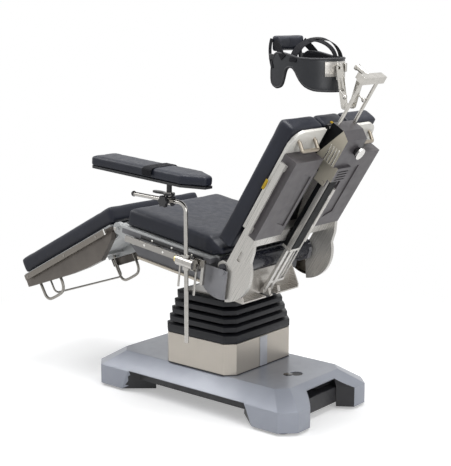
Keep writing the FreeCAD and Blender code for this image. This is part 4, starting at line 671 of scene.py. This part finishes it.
recolor("seat_frame", BEIGE_METAL, lambda c, n: (SEAT_BACK @ c).z < -0.0935)
recolor("hip_covers", MIRROR, lambda c, n: c.y > 0 or n.y > 0.5)
for plate in ("shoulder_plate_near", "shoulder_plate_far"):
    recolor(plate, HANDLE_METAL, lambda c, n: (BACK_BACK @ c).z < -0.0012)
recolor("strut_housing", STRUT_STEEL, lambda c, n: c.y > 0.036)
recolor("leg_frame", COVER_PAINT, lambda c, n: (LEG_BACK @ c).z < -0.03)
# Painted shade: the cover's walls inside the side openings take the black coat, standing for the
# shade under the base.
recolor("base_cover", BLACK_COAT,
        lambda c, n: c.z < 0.112 and abs(n.x) > 0.5 and abs(c.x) < 0.47 and abs(c.y) < 0.29)
recolor("base_cover", BLACK_COAT,
        lambda c, n: c.z < 0.14 and abs(n.y) > 0.6 and abs(c.y) < 0.16)
recolor("head_socket", SOCKET_STEEL, lambda c, n: n.y < -0.6 and (BACK_BACK @ c).z < -0.03)
recolor("head_socket", STRUT_BLACK, lambda c, n: n.y < -0.6 and (BACK_BACK @ c).z >= -0.03)
recolor("back_yoke", STRUT_BLACK,
        lambda c, n: -0.118 < c.y < -0.02 and (BACK_BACK @ c).x > 0.2)
recolor("arm_post", DARK_PLASTIC, lambda c, n: c.x < -0.2)
recolor("head_lock_knob", SCREW, lambda c, n: (BACK_BACK @ c).z < -0.1135)

# Cushions, each from its section's outline

WRINKLES = []
random.seed(11)
for k in range(9):
    place = -0.03 - 0.021 * k + random.uniform(-0.004, 0.004)
    lean = Vector((1.0, 0.0, random.uniform(-0.25, 0.25))).normalized()
    WRINKLES.append((Vector((place, -0.3, 0.06)), lean, 0.0045, 0.07 + random.uniform(0, 0.03)))
pad("SeatPad", "seat_cushion",
    [(-0.564, 0.032), (-0.046, 0.032), (-0.034, 0.047), (-0.002, 0.047), (-0.002, 0.07),
     (-0.008, 0.076), (-0.07, 0.098), (-0.071, 0.11), (-0.554, 0.11)],
    -PAD_HALF, PAD_HALF, SEAT, VINYL, "seat", lines=WRINKLES, depth=0.0035)
pad("LegPad", "leg_cushion",
    [(-0.693, 0.03), (0.004, 0.03), (0.008, 0.105), (-0.697, 0.105)],
    -PAD_HALF, PAD_HALF, LEG, VINYL, "leg")
for piece, node, low, high, body in (
        ("ShoulderPadNear", "shoulder_cushion_near", -0.3, -0.084, "shoulder_near"),
        ("CentrePad", "back_cushion", -0.083, 0.083, "back"),
        ("ShoulderPadFar", "shoulder_cushion_far", 0.084, 0.3, "shoulder_far")):
    pad(piece, node, [(0.08, 0.014), (0.684, 0.014), (0.686, 0.092), (0.08, 0.092)],
        low, high, BACK, VINYL, body, cap=0.004, radius=0.010)


def board_outline(inset):
    """The armboard in plan: square at the hand, drawn in at the elbow."""
    low = -0.392 + inset
    high = 0.22 - inset
    half = 0.078 - inset
    return [(low, -half + 0.012), (low + 0.014, -half), (high - 0.09, -half), (high, -0.022),
            (high, 0.022), (high - 0.09, half), (low + 0.014, half), (low, half - 0.012)]


def board_pad():
    """The armboard's cushion: a flat pad with a pointed end."""
    outline = board_outline(PAD_SKIN)
    obj = mesh_object("ArmPad", lambda bm: add_slab(bm, outline, BOARD_PAD_LOW, BOARD_PAD_HIGH))
    bevelled(obj, 0.007, 3, 20.0)
    even_faces(obj, 0.006)
    apply_modifiers(obj)
    obj.matrix_world = BOARD
    inflate(obj, 0.004, BOARD_PAD_LOW)
    detail = obj.modifiers.new("Detail", "SUBSURF")
    detail.levels = 1
    apply_modifiers(obj)
    smooth(obj, 80.0)
    finished(obj, VINYL, "armboard")
    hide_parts("armboard_pad")


board_pad()

# Bellows: stacked folds with upright faces and deep grooves

FOLDS = [
    (0.2965, 0.335, 0.197, 0.224), (0.342, 0.369, 0.190, 0.216), (0.376, 0.402, 0.183, 0.208),
    (0.410, 0.436, 0.175, 0.199), (0.444, 0.4745, 0.167, 0.190),
]
LOWER_FOLDS = 3
GROOVE = 0.026
GROOVE_CORNER = 0.036
FOLD_CORNER = 0.040


def chamfered(half_x, half_y, corner, z):
    """A rectangle about the column with its corners cut off."""
    return [Vector(p) for p in (
        (half_x - corner, -half_y, z), (half_x, -half_y + corner, z),
        (half_x, half_y - corner, z), (half_x - corner, half_y, z),
        (-half_x + corner, half_y, z), (-half_x, half_y - corner, z),
        (-half_x, -half_y + corner, z), (-half_x + corner, -half_y, z))]


def fold_stack(bm, folds):
    """Rings from fold to fold; each fold is (low, high, half length, half width)."""
    rings = []
    for low, high, half_x, half_y in folds:
        inner_x = half_x - GROOVE
        inner_y = half_y - GROOVE
        rings.append(chamfered(inner_x, inner_y, GROOVE_CORNER, low - 0.002))
        rings.append(chamfered(half_x, half_y, FOLD_CORNER, low + 0.003))
        rings.append(chamfered(half_x, half_y, FOLD_CORNER, high - 0.003))
        rings.append(chamfered(inner_x, inner_y, GROOVE_CORNER, high + 0.002))
    made = [[bm.verts.new(p) for p in ring] for ring in rings]
    for first, second in zip(made, made[1:]):
        for k in range(8):
            bm.faces.new((first[k], first[(k + 1) % 8], second[(k + 1) % 8], second[k]))
    return made


def bellows_lower(bm):
    made = fold_stack(bm, FOLDS[:LOWER_FOLDS])
    bm.faces.new(made[0])


def bellows_upper(bm):
    made = fold_stack(bm, FOLDS[LOWER_FOLDS:])
    bm.faces.new(list(reversed(made[-1])))


lower = mesh_object("BellowsLower", bellows_lower)
bevelled(lower, 0.0022, 2, 25.0)
lower.data.materials.append(BELLOWS_SKIN)
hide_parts("bellows")
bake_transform(lower)
upper = mesh_object("BellowsUpper", bellows_upper)
bevelled(upper, 0.0022, 2, 25.0)
finished(upper, BELLOWS_SKIN, "lift_head")
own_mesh(upper)

# Head support: a smooth shell with an arch for each ear, its liner, brow pad and straps

SHELL_X = 0.443
SHELL_R = 0.1195
SHELL_WALL = 0.006
CHEEK_X = 0.285
CHEEK_HALF = 0.0985
QUARTER_TURN = 1.5708
BROW_LOW = 1.506
BROW_HIGH = 1.567
HEAD_CENTRE = Vector((0.43, 0.0, 1.44))
SHELL_TOP = [(0.303, 1.430), (0.306, 1.455), (0.312, 1.476), (0.322, 1.494), (0.335, 1.502),
             (0.382, 1.499), (0.452, 1.483), (0.500, 1.480), (0.5625, 1.480)]
SHELL_LOW = [(0.303, 1.402), (0.306, 1.386), (0.315, 1.374), (0.330, 1.3665), (0.345, 1.366),
             (0.358, 1.372), (0.367, 1.386), (0.373, 1.407), (0.378, 1.428), (0.385, 1.441),
             (0.395, 1.4475), (0.410, 1.449), (0.423, 1.444), (0.436, 1.428), (0.448, 1.407),
             (0.460, 1.391), (0.475, 1.377), (0.492, 1.367), (0.512, 1.360), (0.5625, 1.355)]


def along(table, x):
    """A height read from a list of (x, height) pairs."""
    if x <= table[0][0]:
        return table[0][1]
    for (x0, z0), (x1, z1) in zip(table, table[1:]):
        if x <= x1:
            return z0 + (z1 - z0) * (x - x0) / (x1 - x0)
    return table[-1][1]


def shell_plan(inset):
    """Plan points of the shell from the near cheek round the back to the far cheek."""
    half = SHELL_R - inset
    near = []
    for x in (0.303, 0.306, 0.310, 0.316, 0.323, 0.331, 0.340, 0.350, 0.359, 0.367, 0.374,
              0.380, 0.386, 0.392, 0.399, 0.406, 0.413, 0.421, 0.429, 0.436):
        share = (x - CHEEK_X) / (SHELL_X - CHEEK_X)
        cheek = CHEEK_HALF - inset
        near.append((x, -(cheek + (half - cheek) * math.sin(share * QUARTER_TURN))))
    rear = []
    for k in range(33):
        turn = -math.pi / 2 + math.pi * k / 32
        rear.append((SHELL_X + half * math.cos(turn), half * math.sin(turn)))
    return near + rear + [(x, -y) for x, y in reversed(near)]


def shell_mesh(name, inset, thick, drop, rise, mat):
    """The wrapped band between the two edge curves, given its thickness."""
    plan = shell_plan(inset)
    rows = 9

    def build(bm):
        columns = []
        for x, y in plan:
            low = along(SHELL_LOW, x) + drop
            high = along(SHELL_TOP, x) + rise
            columns.append([bm.verts.new((x, y, low + (high - low) * k / rows))
                            for k in range(rows + 1)])
        for first, second in zip(columns, columns[1:]):
            for k in range(rows):
                bm.faces.new((first[k], second[k], second[k + 1], first[k + 1]))

    obj = mesh_object(name, build)
    centre = Vector((SHELL_X, 0.0, 1.43))
    if (obj.data.polygons[0].center - centre).dot(obj.data.polygons[0].normal) < 0:
        obj.data.flip_normals()
    wall = obj.modifiers.new("Wall", "SOLIDIFY")
    wall.thickness = thick
    wall.offset = -1.0
    soft = obj.modifiers.new("Soft", "SUBSURF")
    soft.levels = 1
    apply_modifiers(obj)
    smooth(obj, 70.0)
    return finished(obj, mat, "helmet")


def shell_edge(table):
    """The middle of the shell's wall along one of its edge curves."""
    return [Vector((x, y, along(table, x))) for x, y in shell_plan(SHELL_WALL / 2)]


shell = shell_mesh("HelmetShell", 0.0, SHELL_WALL, 0.0, 0.0, HELMET_SKIN)
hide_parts("helmet_shell")
liner = shell_mesh("HelmetLiner", 0.0062, 0.011, -0.0045, 0.0035, STRAP)
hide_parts("helmet_pads")
rim = shell_edge(SHELL_TOP) + list(reversed(shell_edge(SHELL_LOW)))
tube_piece("HelmetRim", rim + rim[:1], 0.0048, RUBBER, "helmet", order=2)


def brow_pad():
    """The forehead pad: a curved block, filled like the cushions."""
    front = [(0.301, -0.094), (0.288, -0.066), (0.282, 0.0), (0.288, 0.066), (0.301, 0.094)]
    back = [(0.326, 0.092), (0.318, 0.060), (0.314, 0.0), (0.318, -0.060), (0.326, -0.092)]
    brow = mesh_object("BrowPad", lambda bm: add_slab(bm, front + back, BROW_LOW, BROW_HIGH))
    bevelled(brow, 0.009, 3, 25.0)
    even_faces(brow, 0.004)
    round_off = brow.modifiers.new("Round", "SMOOTH")
    round_off.factor = 0.5
    round_off.iterations = 6
    apply_modifiers(brow)
    inflate(brow, 0.003, -1.0)
    smooth(brow, 80.0)
    finished(brow, VINYL, "helmet")


brow_pad()


def curved_strap(name, places, width, facing=None):
    """A webbing strap through places, square to the head's centre or facing one way."""
    points = [Vector(place) for place in places]
    path = []
    for k in range(len(points) - 1):
        before = points[max(k - 1, 0)]
        here = points[k]
        after = points[k + 1]
        last = points[min(k + 2, len(points) - 1)]
        for step in range(5):
            t = step / 5
            path.append(0.5 * ((2 * here) + (after - before) * t
                               + (2 * before - 5 * here + 4 * after - last) * t * t
                               + (3 * here - before - 3 * after + last) * t ** 3))
    path.append(points[-1])
    normals = [facing or (p - HEAD_CENTRE).normalized() for p in path]
    obj = strap_piece(name, path, normals, width, STRAP_THICK, STRAP, "helmet")


def helmet_straps():
    """Straps over the crown and the rear, and those that hold the brow pad."""
    curved_strap("CrownStrap", (
        (0.422, -0.122, 1.468), (0.427, -0.113, 1.500), (0.438, -0.089, 1.529),
        (0.453, -0.052, 1.549), (0.467, -0.012, 1.556), (0.478, 0.030, 1.552),
        (0.486, 0.070, 1.534), (0.491, 0.100, 1.503), (0.492, 0.114, 1.470)), 0.036)
    curved_strap("RearStrap", (
        (0.448, -0.048, 1.553), (0.482, -0.034, 1.550), (0.512, -0.020, 1.536),
        (0.533, -0.010, 1.515), (0.5425, -0.003, 1.490), (0.5440, 0.0, 1.466)), 0.028)
    for side, sign in SIDES:
        outward = Vector((-0.25, sign, 0.0)).normalized()
        curved_strap("CheekStrap" + side, [(x, sign * y, z) for x, y, z in (
            (0.300, 0.095, 1.556), (0.296, 0.0985, 1.530), (0.2965, 0.1005, 1.500),
            (0.303, 0.1025, 1.468), (0.312, 0.1045, 1.440))], 0.018, outward)
        curved_strap("BrowStrap" + side, [(x, sign * y, z) for x, y, z in (
            (0.316, 0.096, 1.545), (0.335, 0.1035, 1.528), (0.356, 0.1115, 1.505),
            (0.374, 0.117, 1.482))], 0.030)
        low_y, high_y = span(sign, 0.1005, 0.1075)
        rounded_block("CheekBuckle" + side, (0.295, low_y, 1.474), (0.315, high_y, 1.496), WORLD,
                      0.002, DARK_PLASTIC, "helmet")
    rounded_block("CrownBuckle", (0.452, -0.036, 1.5545), (0.482, -0.008, 1.5605), WORLD, 0.002,
                  DARK_PLASTIC, "helmet")


def helmet_fittings():
    """Metal at the rear of the shell: plate, band, the two lugs of the link and four screws."""
    rounded_block("HelmetPlate", (0.5615, -0.026, 1.398), (0.569, 0.030, 1.470), WORLD, 0.002,
                  BACK_STEEL, "helmet")
    band = []
    for k in range(9):
        turn = math.radians(-36 + 3.4 * k)
        band.append(Vector((math.cos(turn), math.sin(turn), 0.0)))
    middle = Vector((SHELL_X, 0.0, 1.441))
    strap_piece("HelmetBand", [middle + (SHELL_R + 0.003) * p for p in band], band, 0.058, 0.003,
                SEAT_STEEL, "helmet")
    for name, low_y, high_y in (("HelmetLug", -0.022, -0.009), ("HelmetLugFar", 0.009, 0.022)):
        rounded_block(name, (0.567, low_y, 1.430), (0.583, high_y, 1.464), WORLD, 0.002, CHROME,
                      "helmet")
    places = ((-0.019, 1.407), (0.023, 1.407), (-0.019, 1.461), (0.023, 1.461))
    for k, (y, z) in enumerate(places):
        pin = mesh_object(f"HelmetScrew{k}", lambda bm, y=y, z=z: add_rod(
            bm, Vector((0.5685, y, z)), Vector((0.5715, y, z)), 0.0035, 14))
        bevelled(pin, 0.0008, 2)
        finished(pin, SCREW, "helmet")


helmet_straps()
helmet_fittings()

# Small parts on the section frames

DECK_FACE = 0.3035
RAIL_FACE = 0.3248
LEG_RAIL_FACE = 0.3208


def side_fittings(side, sign):
    """Strips, screws and bolt heads along the seat and the leg section."""
    out = (0.0, sign, 0.0)
    low_y, high_y = span(sign, DECK_FACE, DECK_FACE + 0.001)
    rounded_block("DeckStrip" + side, (-0.452, low_y, 0.0035), (-0.098, high_y, 0.0185), SEAT,
                  0.0004, DARK_PLASTIC, "seat", 2)
    for k, u in enumerate((-0.385, -0.272, -0.160)):
        screw(f"DeckScrew{side}{k}", (u, sign * 0.3042, 0.011), out, 0.0048, 0.002, SCREW, "seat",
              SEAT)
    for k, u in enumerate((-0.41, -0.303, -0.19)):
        if side == "Far" or u < -0.2:
            screw(f"RailBolt{side}{k}", (u, sign * RAIL_FACE, -0.0125), out, 0.0052, 0.0004,
                  SCREW, "seat", SEAT)
    for k, u in enumerate((-0.116, -0.356, -0.645)):
        screw(f"LegRailBolt{side}{k}", (u, sign * LEG_RAIL_FACE, 0.0075), out, 0.0052, 0.0016,
              LOOP_CHROME, "leg", LEG)
    screw("KneePin" + side, (-0.609, sign * 0.3028, 0.005), out, 0.0085, 0.003, STEEL, "seat",
          SEAT)
    low_y, high_y = span(sign, 0.3205, 0.3225)
    rounded_block("LegRailEnd" + side, (-0.056, low_y, -0.006), (-0.049, high_y, 0.021), LEG,
                  0.0006, SCREW, "leg", 2)


def plate_grip(side, sign):
    """The pull handle of a shoulder plate."""
    inner = sign * 0.142
    outer = sign * 0.244
    turn = sign * 0.012
    tube_piece("PlateGrip" + side, [BACK @ Vector(p) for p in (
        (0.629, outer, -0.006), (0.612, outer, -0.030), (0.606, outer, -0.0375),
        (0.606, outer - turn, -0.038), (0.606, inner + turn, -0.038),
        (0.606, inner, -0.0375), (0.612, inner, -0.030), (0.629, inner, -0.006))],
        0.0078, HANDLE_METAL, "shoulder_" + side.lower())


def leg_loop(side, sign):
    """A bent rod below the leg section."""
    loop = tube_piece("LegLoop" + side, [LEG @ Vector((u, sign * LOOP_Y, w)) for u, w in (
        (-0.6555, -0.006), (-0.6525, -0.070), (-0.650, -0.108), (-0.630, -0.126),
        (-0.600, -0.128), (-0.545, -0.127), (-0.522, -0.121), (-0.507, -0.100),
        (-0.505, -0.060), (-0.510, -0.014))], 0.007, LOOP_CHROME, "leg")
    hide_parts("leg_loops")


def back_trim():
    """Cloth tabs on the cushions, and strips on the strut and on its adjuster."""
    rounded_block("TabNear", (0.402, -0.3025, 0.0015), (0.446, -0.298, 0.0135), BACK, 0.001,
                  YELLOW, "shoulder_near")
    rounded_block("TabCentre", (0.6835, -0.052, 0.010), (0.6885, -0.040, 0.022), BACK, 0.001,
                  YELLOW, "back")
    rounded_block("StrutStrip", (-0.018, -0.0348, -0.002), (0.345, -0.0338, 0.0215), STRUT,
                  0.0004, STRUT_STEEL, "strut_housing", 2)
    rounded_block("StrutCollar", (0.337, -0.036, -0.0235), (0.349, 0.036, 0.0235), STRUT, 0.001,
                  STRUT_STEEL, "strut_housing", 2)
    for k, w in enumerate((-0.086, -0.072, -0.058, -0.044)):
        rounded_block(f"AdjusterStrip{k}", (0.553, -0.0692, w), (0.625, -0.0678, w + 0.0045),
                      BACK, 0.0005, SCREW, "back", 2)


for side, sign in SIDES:
    side_fittings(side, sign)
    plate_grip(side, sign)
back_trim()
for side, sign in SIDES:
    leg_loop(side, sign)


def column_trim():
    """The strip and the floor seal of the column's casing."""
    rounded_block("ShroudStrip", (0.1955, -0.026, 0.163), (0.1972, 0.024, 0.294), WORLD, 0.0005,
                  STRIP_GREY, "base", 2)
    gasket = [Vector(p) for p in (
        (0.154, -0.2225, 0.1622), (0.1962, -0.180, 0.1622), (0.1962, 0.180, 0.1622),
        (0.154, 0.2225, 0.1622), (-0.154, 0.2225, 0.1622), (-0.1955, 0.180, 0.1622),
        (-0.1955, -0.180, 0.1622), (-0.154, -0.2225, 0.1622), (0.154, -0.2225, 0.1622))]
    tube_piece("ShroudSeal", gasket, 0.0022, RUBBER, "base", order=2)


def base_shade_and_port():
    """Black sheets set back in the long sides' openings as painted shade, and the cap of the
    service port.
    """
    for side, sign in SIDES:
        low_y, high_y = span(sign, 0.2515, 0.255)
        # Painted shade: a black sheet set back in each long side's opening, where the gap under
        # the base is in shade.
        rounded_block("SideShadeSheet" + side, (-0.3, low_y, 0.056), (0.3, high_y, 0.1005), WORLD,
                      0.001, BLACK_COAT, "base", 2)
    screw("BasePort", (0.350, -0.029, 0.1592), (0, 0, 1), 0.021, 0.0016, GLOSS_BLACK, "base")


def board_strap():
    """The wrist strap, laid flat across the armboard's cushion."""
    points = []
    normals = []
    for y, z, out in ((-0.079, 0.020, (0, -1, 0)), (-0.079, 0.046, (0, -1, 0.4)),
                      (-0.066, 0.0535, (0, -0.3, 1)), (0.0, 0.0545, (0, 0, 1)),
                      (0.066, 0.0535, (0, 0.3, 1)), (0.079, 0.046, (0, 1, 0.4)),
                      (0.079, 0.020, (0, 1, 0))):
        points.append(BOARD @ Vector((-0.052, y, z)))
        normals.append(BOARD.to_3x3() @ Vector(out))
    strap = strap_piece("BoardStrap", points, normals, 0.052, 0.002, STRAP, "armboard")


column_trim()
base_shade_and_port()
board_strap()

# Floor, lights and camera

FADE_NEAR = 0.75
FADE_FAR = 2.1
FLOOR_LIFT = 0.36


def seen_rays(nodes, links):
    """1 for rays from the camera or a reflection, 0 for the light that surfaces share."""
    path = nodes.new("ShaderNodeLightPath")
    seen = math_node(nodes, links, "MAXIMUM", path.outputs["Is Camera Ray"],
                     path.outputs["Is Glossy Ray"])
    return math_node(nodes, links, "MAXIMUM", seen, path.outputs["Is Transmission Ray"])


def lay_floor():
    """A pale floor that shows the shadow close by and turns white further out."""
    bpy.ops.mesh.primitive_plane_add(size=60, location=(0, 0, 0))
    floor = bpy.context.object
    floor.name = "Floor"
    mat, nodes, links, shader = new_material("FloorWhite")
    shader.inputs["Base Color"].default_value = (0.80, 0.80, 0.80, 1.0)
    shader.inputs["Roughness"].default_value = 0.7
    seen = seen_rays(nodes, links)
    reach = nodes.new("ShaderNodeVectorMath")
    reach.operation = "LENGTH"
    links.new(coordinates(nodes), reach.inputs[0])
    fade = nodes.new("ShaderNodeMapRange")
    fade.interpolation_type = "SMOOTHSTEP"
    fade.inputs["From Min"].default_value = FADE_NEAR
    fade.inputs["From Max"].default_value = FADE_FAR
    links.new(reach.outputs["Value"], fade.inputs["Value"])
    away = math_node(nodes, links, "MULTIPLY", fade.outputs["Result"], seen)
    lift = nodes.new("ShaderNodeEmission")
    links.new(math_node(nodes, links, "MULTIPLY", seen, FLOOR_LIFT), lift.inputs["Strength"])
    lit = nodes.new("ShaderNodeAddShader")
    links.new(shader.outputs["BSDF"], lit.inputs[0])
    links.new(lift.outputs[0], lit.inputs[1])
    white = nodes.new("ShaderNodeEmission")
    mix = nodes.new("ShaderNodeMixShader")
    links.new(away, mix.inputs[0])
    links.new(lit.outputs[0], mix.inputs[1])
    links.new(white.outputs[0], mix.inputs[2])
    links.new(mix.outputs[0], nodes["Material Output"].inputs["Surface"])
    floor.data.materials.append(mat)


def light_world():
    """White behind the table, with a soft grey light from all round."""
    world = bpy.data.worlds.new("Studio")
    bpy.context.scene.world = world
    world.use_nodes = True
    nodes = world.node_tree.nodes
    links = world.node_tree.links
    sky = nodes["Background"]
    sky.inputs["Color"].default_value = (0.70, 0.71, 0.73, 1.0)
    sky.inputs["Strength"].default_value = 0.4
    white = nodes.new("ShaderNodeBackground")
    white.inputs["Color"].default_value = (1.0, 1.0, 1.0, 1.0)
    mix = nodes.new("ShaderNodeMixShader")
    links.new(seen_rays(nodes, links), mix.inputs[0])
    links.new(sky.outputs[0], mix.inputs[1])
    links.new(white.outputs[0], mix.inputs[2])
    links.new(mix.outputs[0], nodes["World Output"].inputs["Surface"])


def area_light(name, place, target, side, power):
    """A square lamp that looks at a target."""
    data = bpy.data.lights.new(name, "AREA")
    data.shape = "SQUARE"
    data.size = side
    data.energy = power
    lamp = link(bpy.data.objects.new(name, data))
    lamp.location = place
    aim = Vector(target) - Vector(place)
    lamp.rotation_euler = aim.to_track_quat("-Z", "Y").to_euler()


lay_floor()
light_world()
area_light("Key", (-2.6, -1.6, 3.8), (0, 0, 0.7), 2.4, 95)
area_light("Top", (0.4, 0.3, 4.4), (0, 0, 0.6), 2.6, 150)
area_light("Side", (4.2, -1.2, 2.2), (0.2, 0, 0.7), 2.2, 60)

CAMERA_PLACE = (3.072, -3.706, 1.653)
CAMERA_PITCH = math.radians(79.02)
CAMERA_TURN = math.radians(39.82)
LENS_MM = 87.37
SENSOR_MM = 36.0
camera_data = bpy.data.cameras.new("Camera")
camera_data.lens = LENS_MM
camera_data.sensor_width = SENSOR_MM
camera = link(bpy.data.objects.new("Camera", camera_data))
camera.location = CAMERA_PLACE
camera.rotation_euler = (CAMERA_PITCH, 0.0, CAMERA_TURN)
bpy.context.scene.camera = camera
bpy.context.scene.view_settings.view_transform = "Standard"
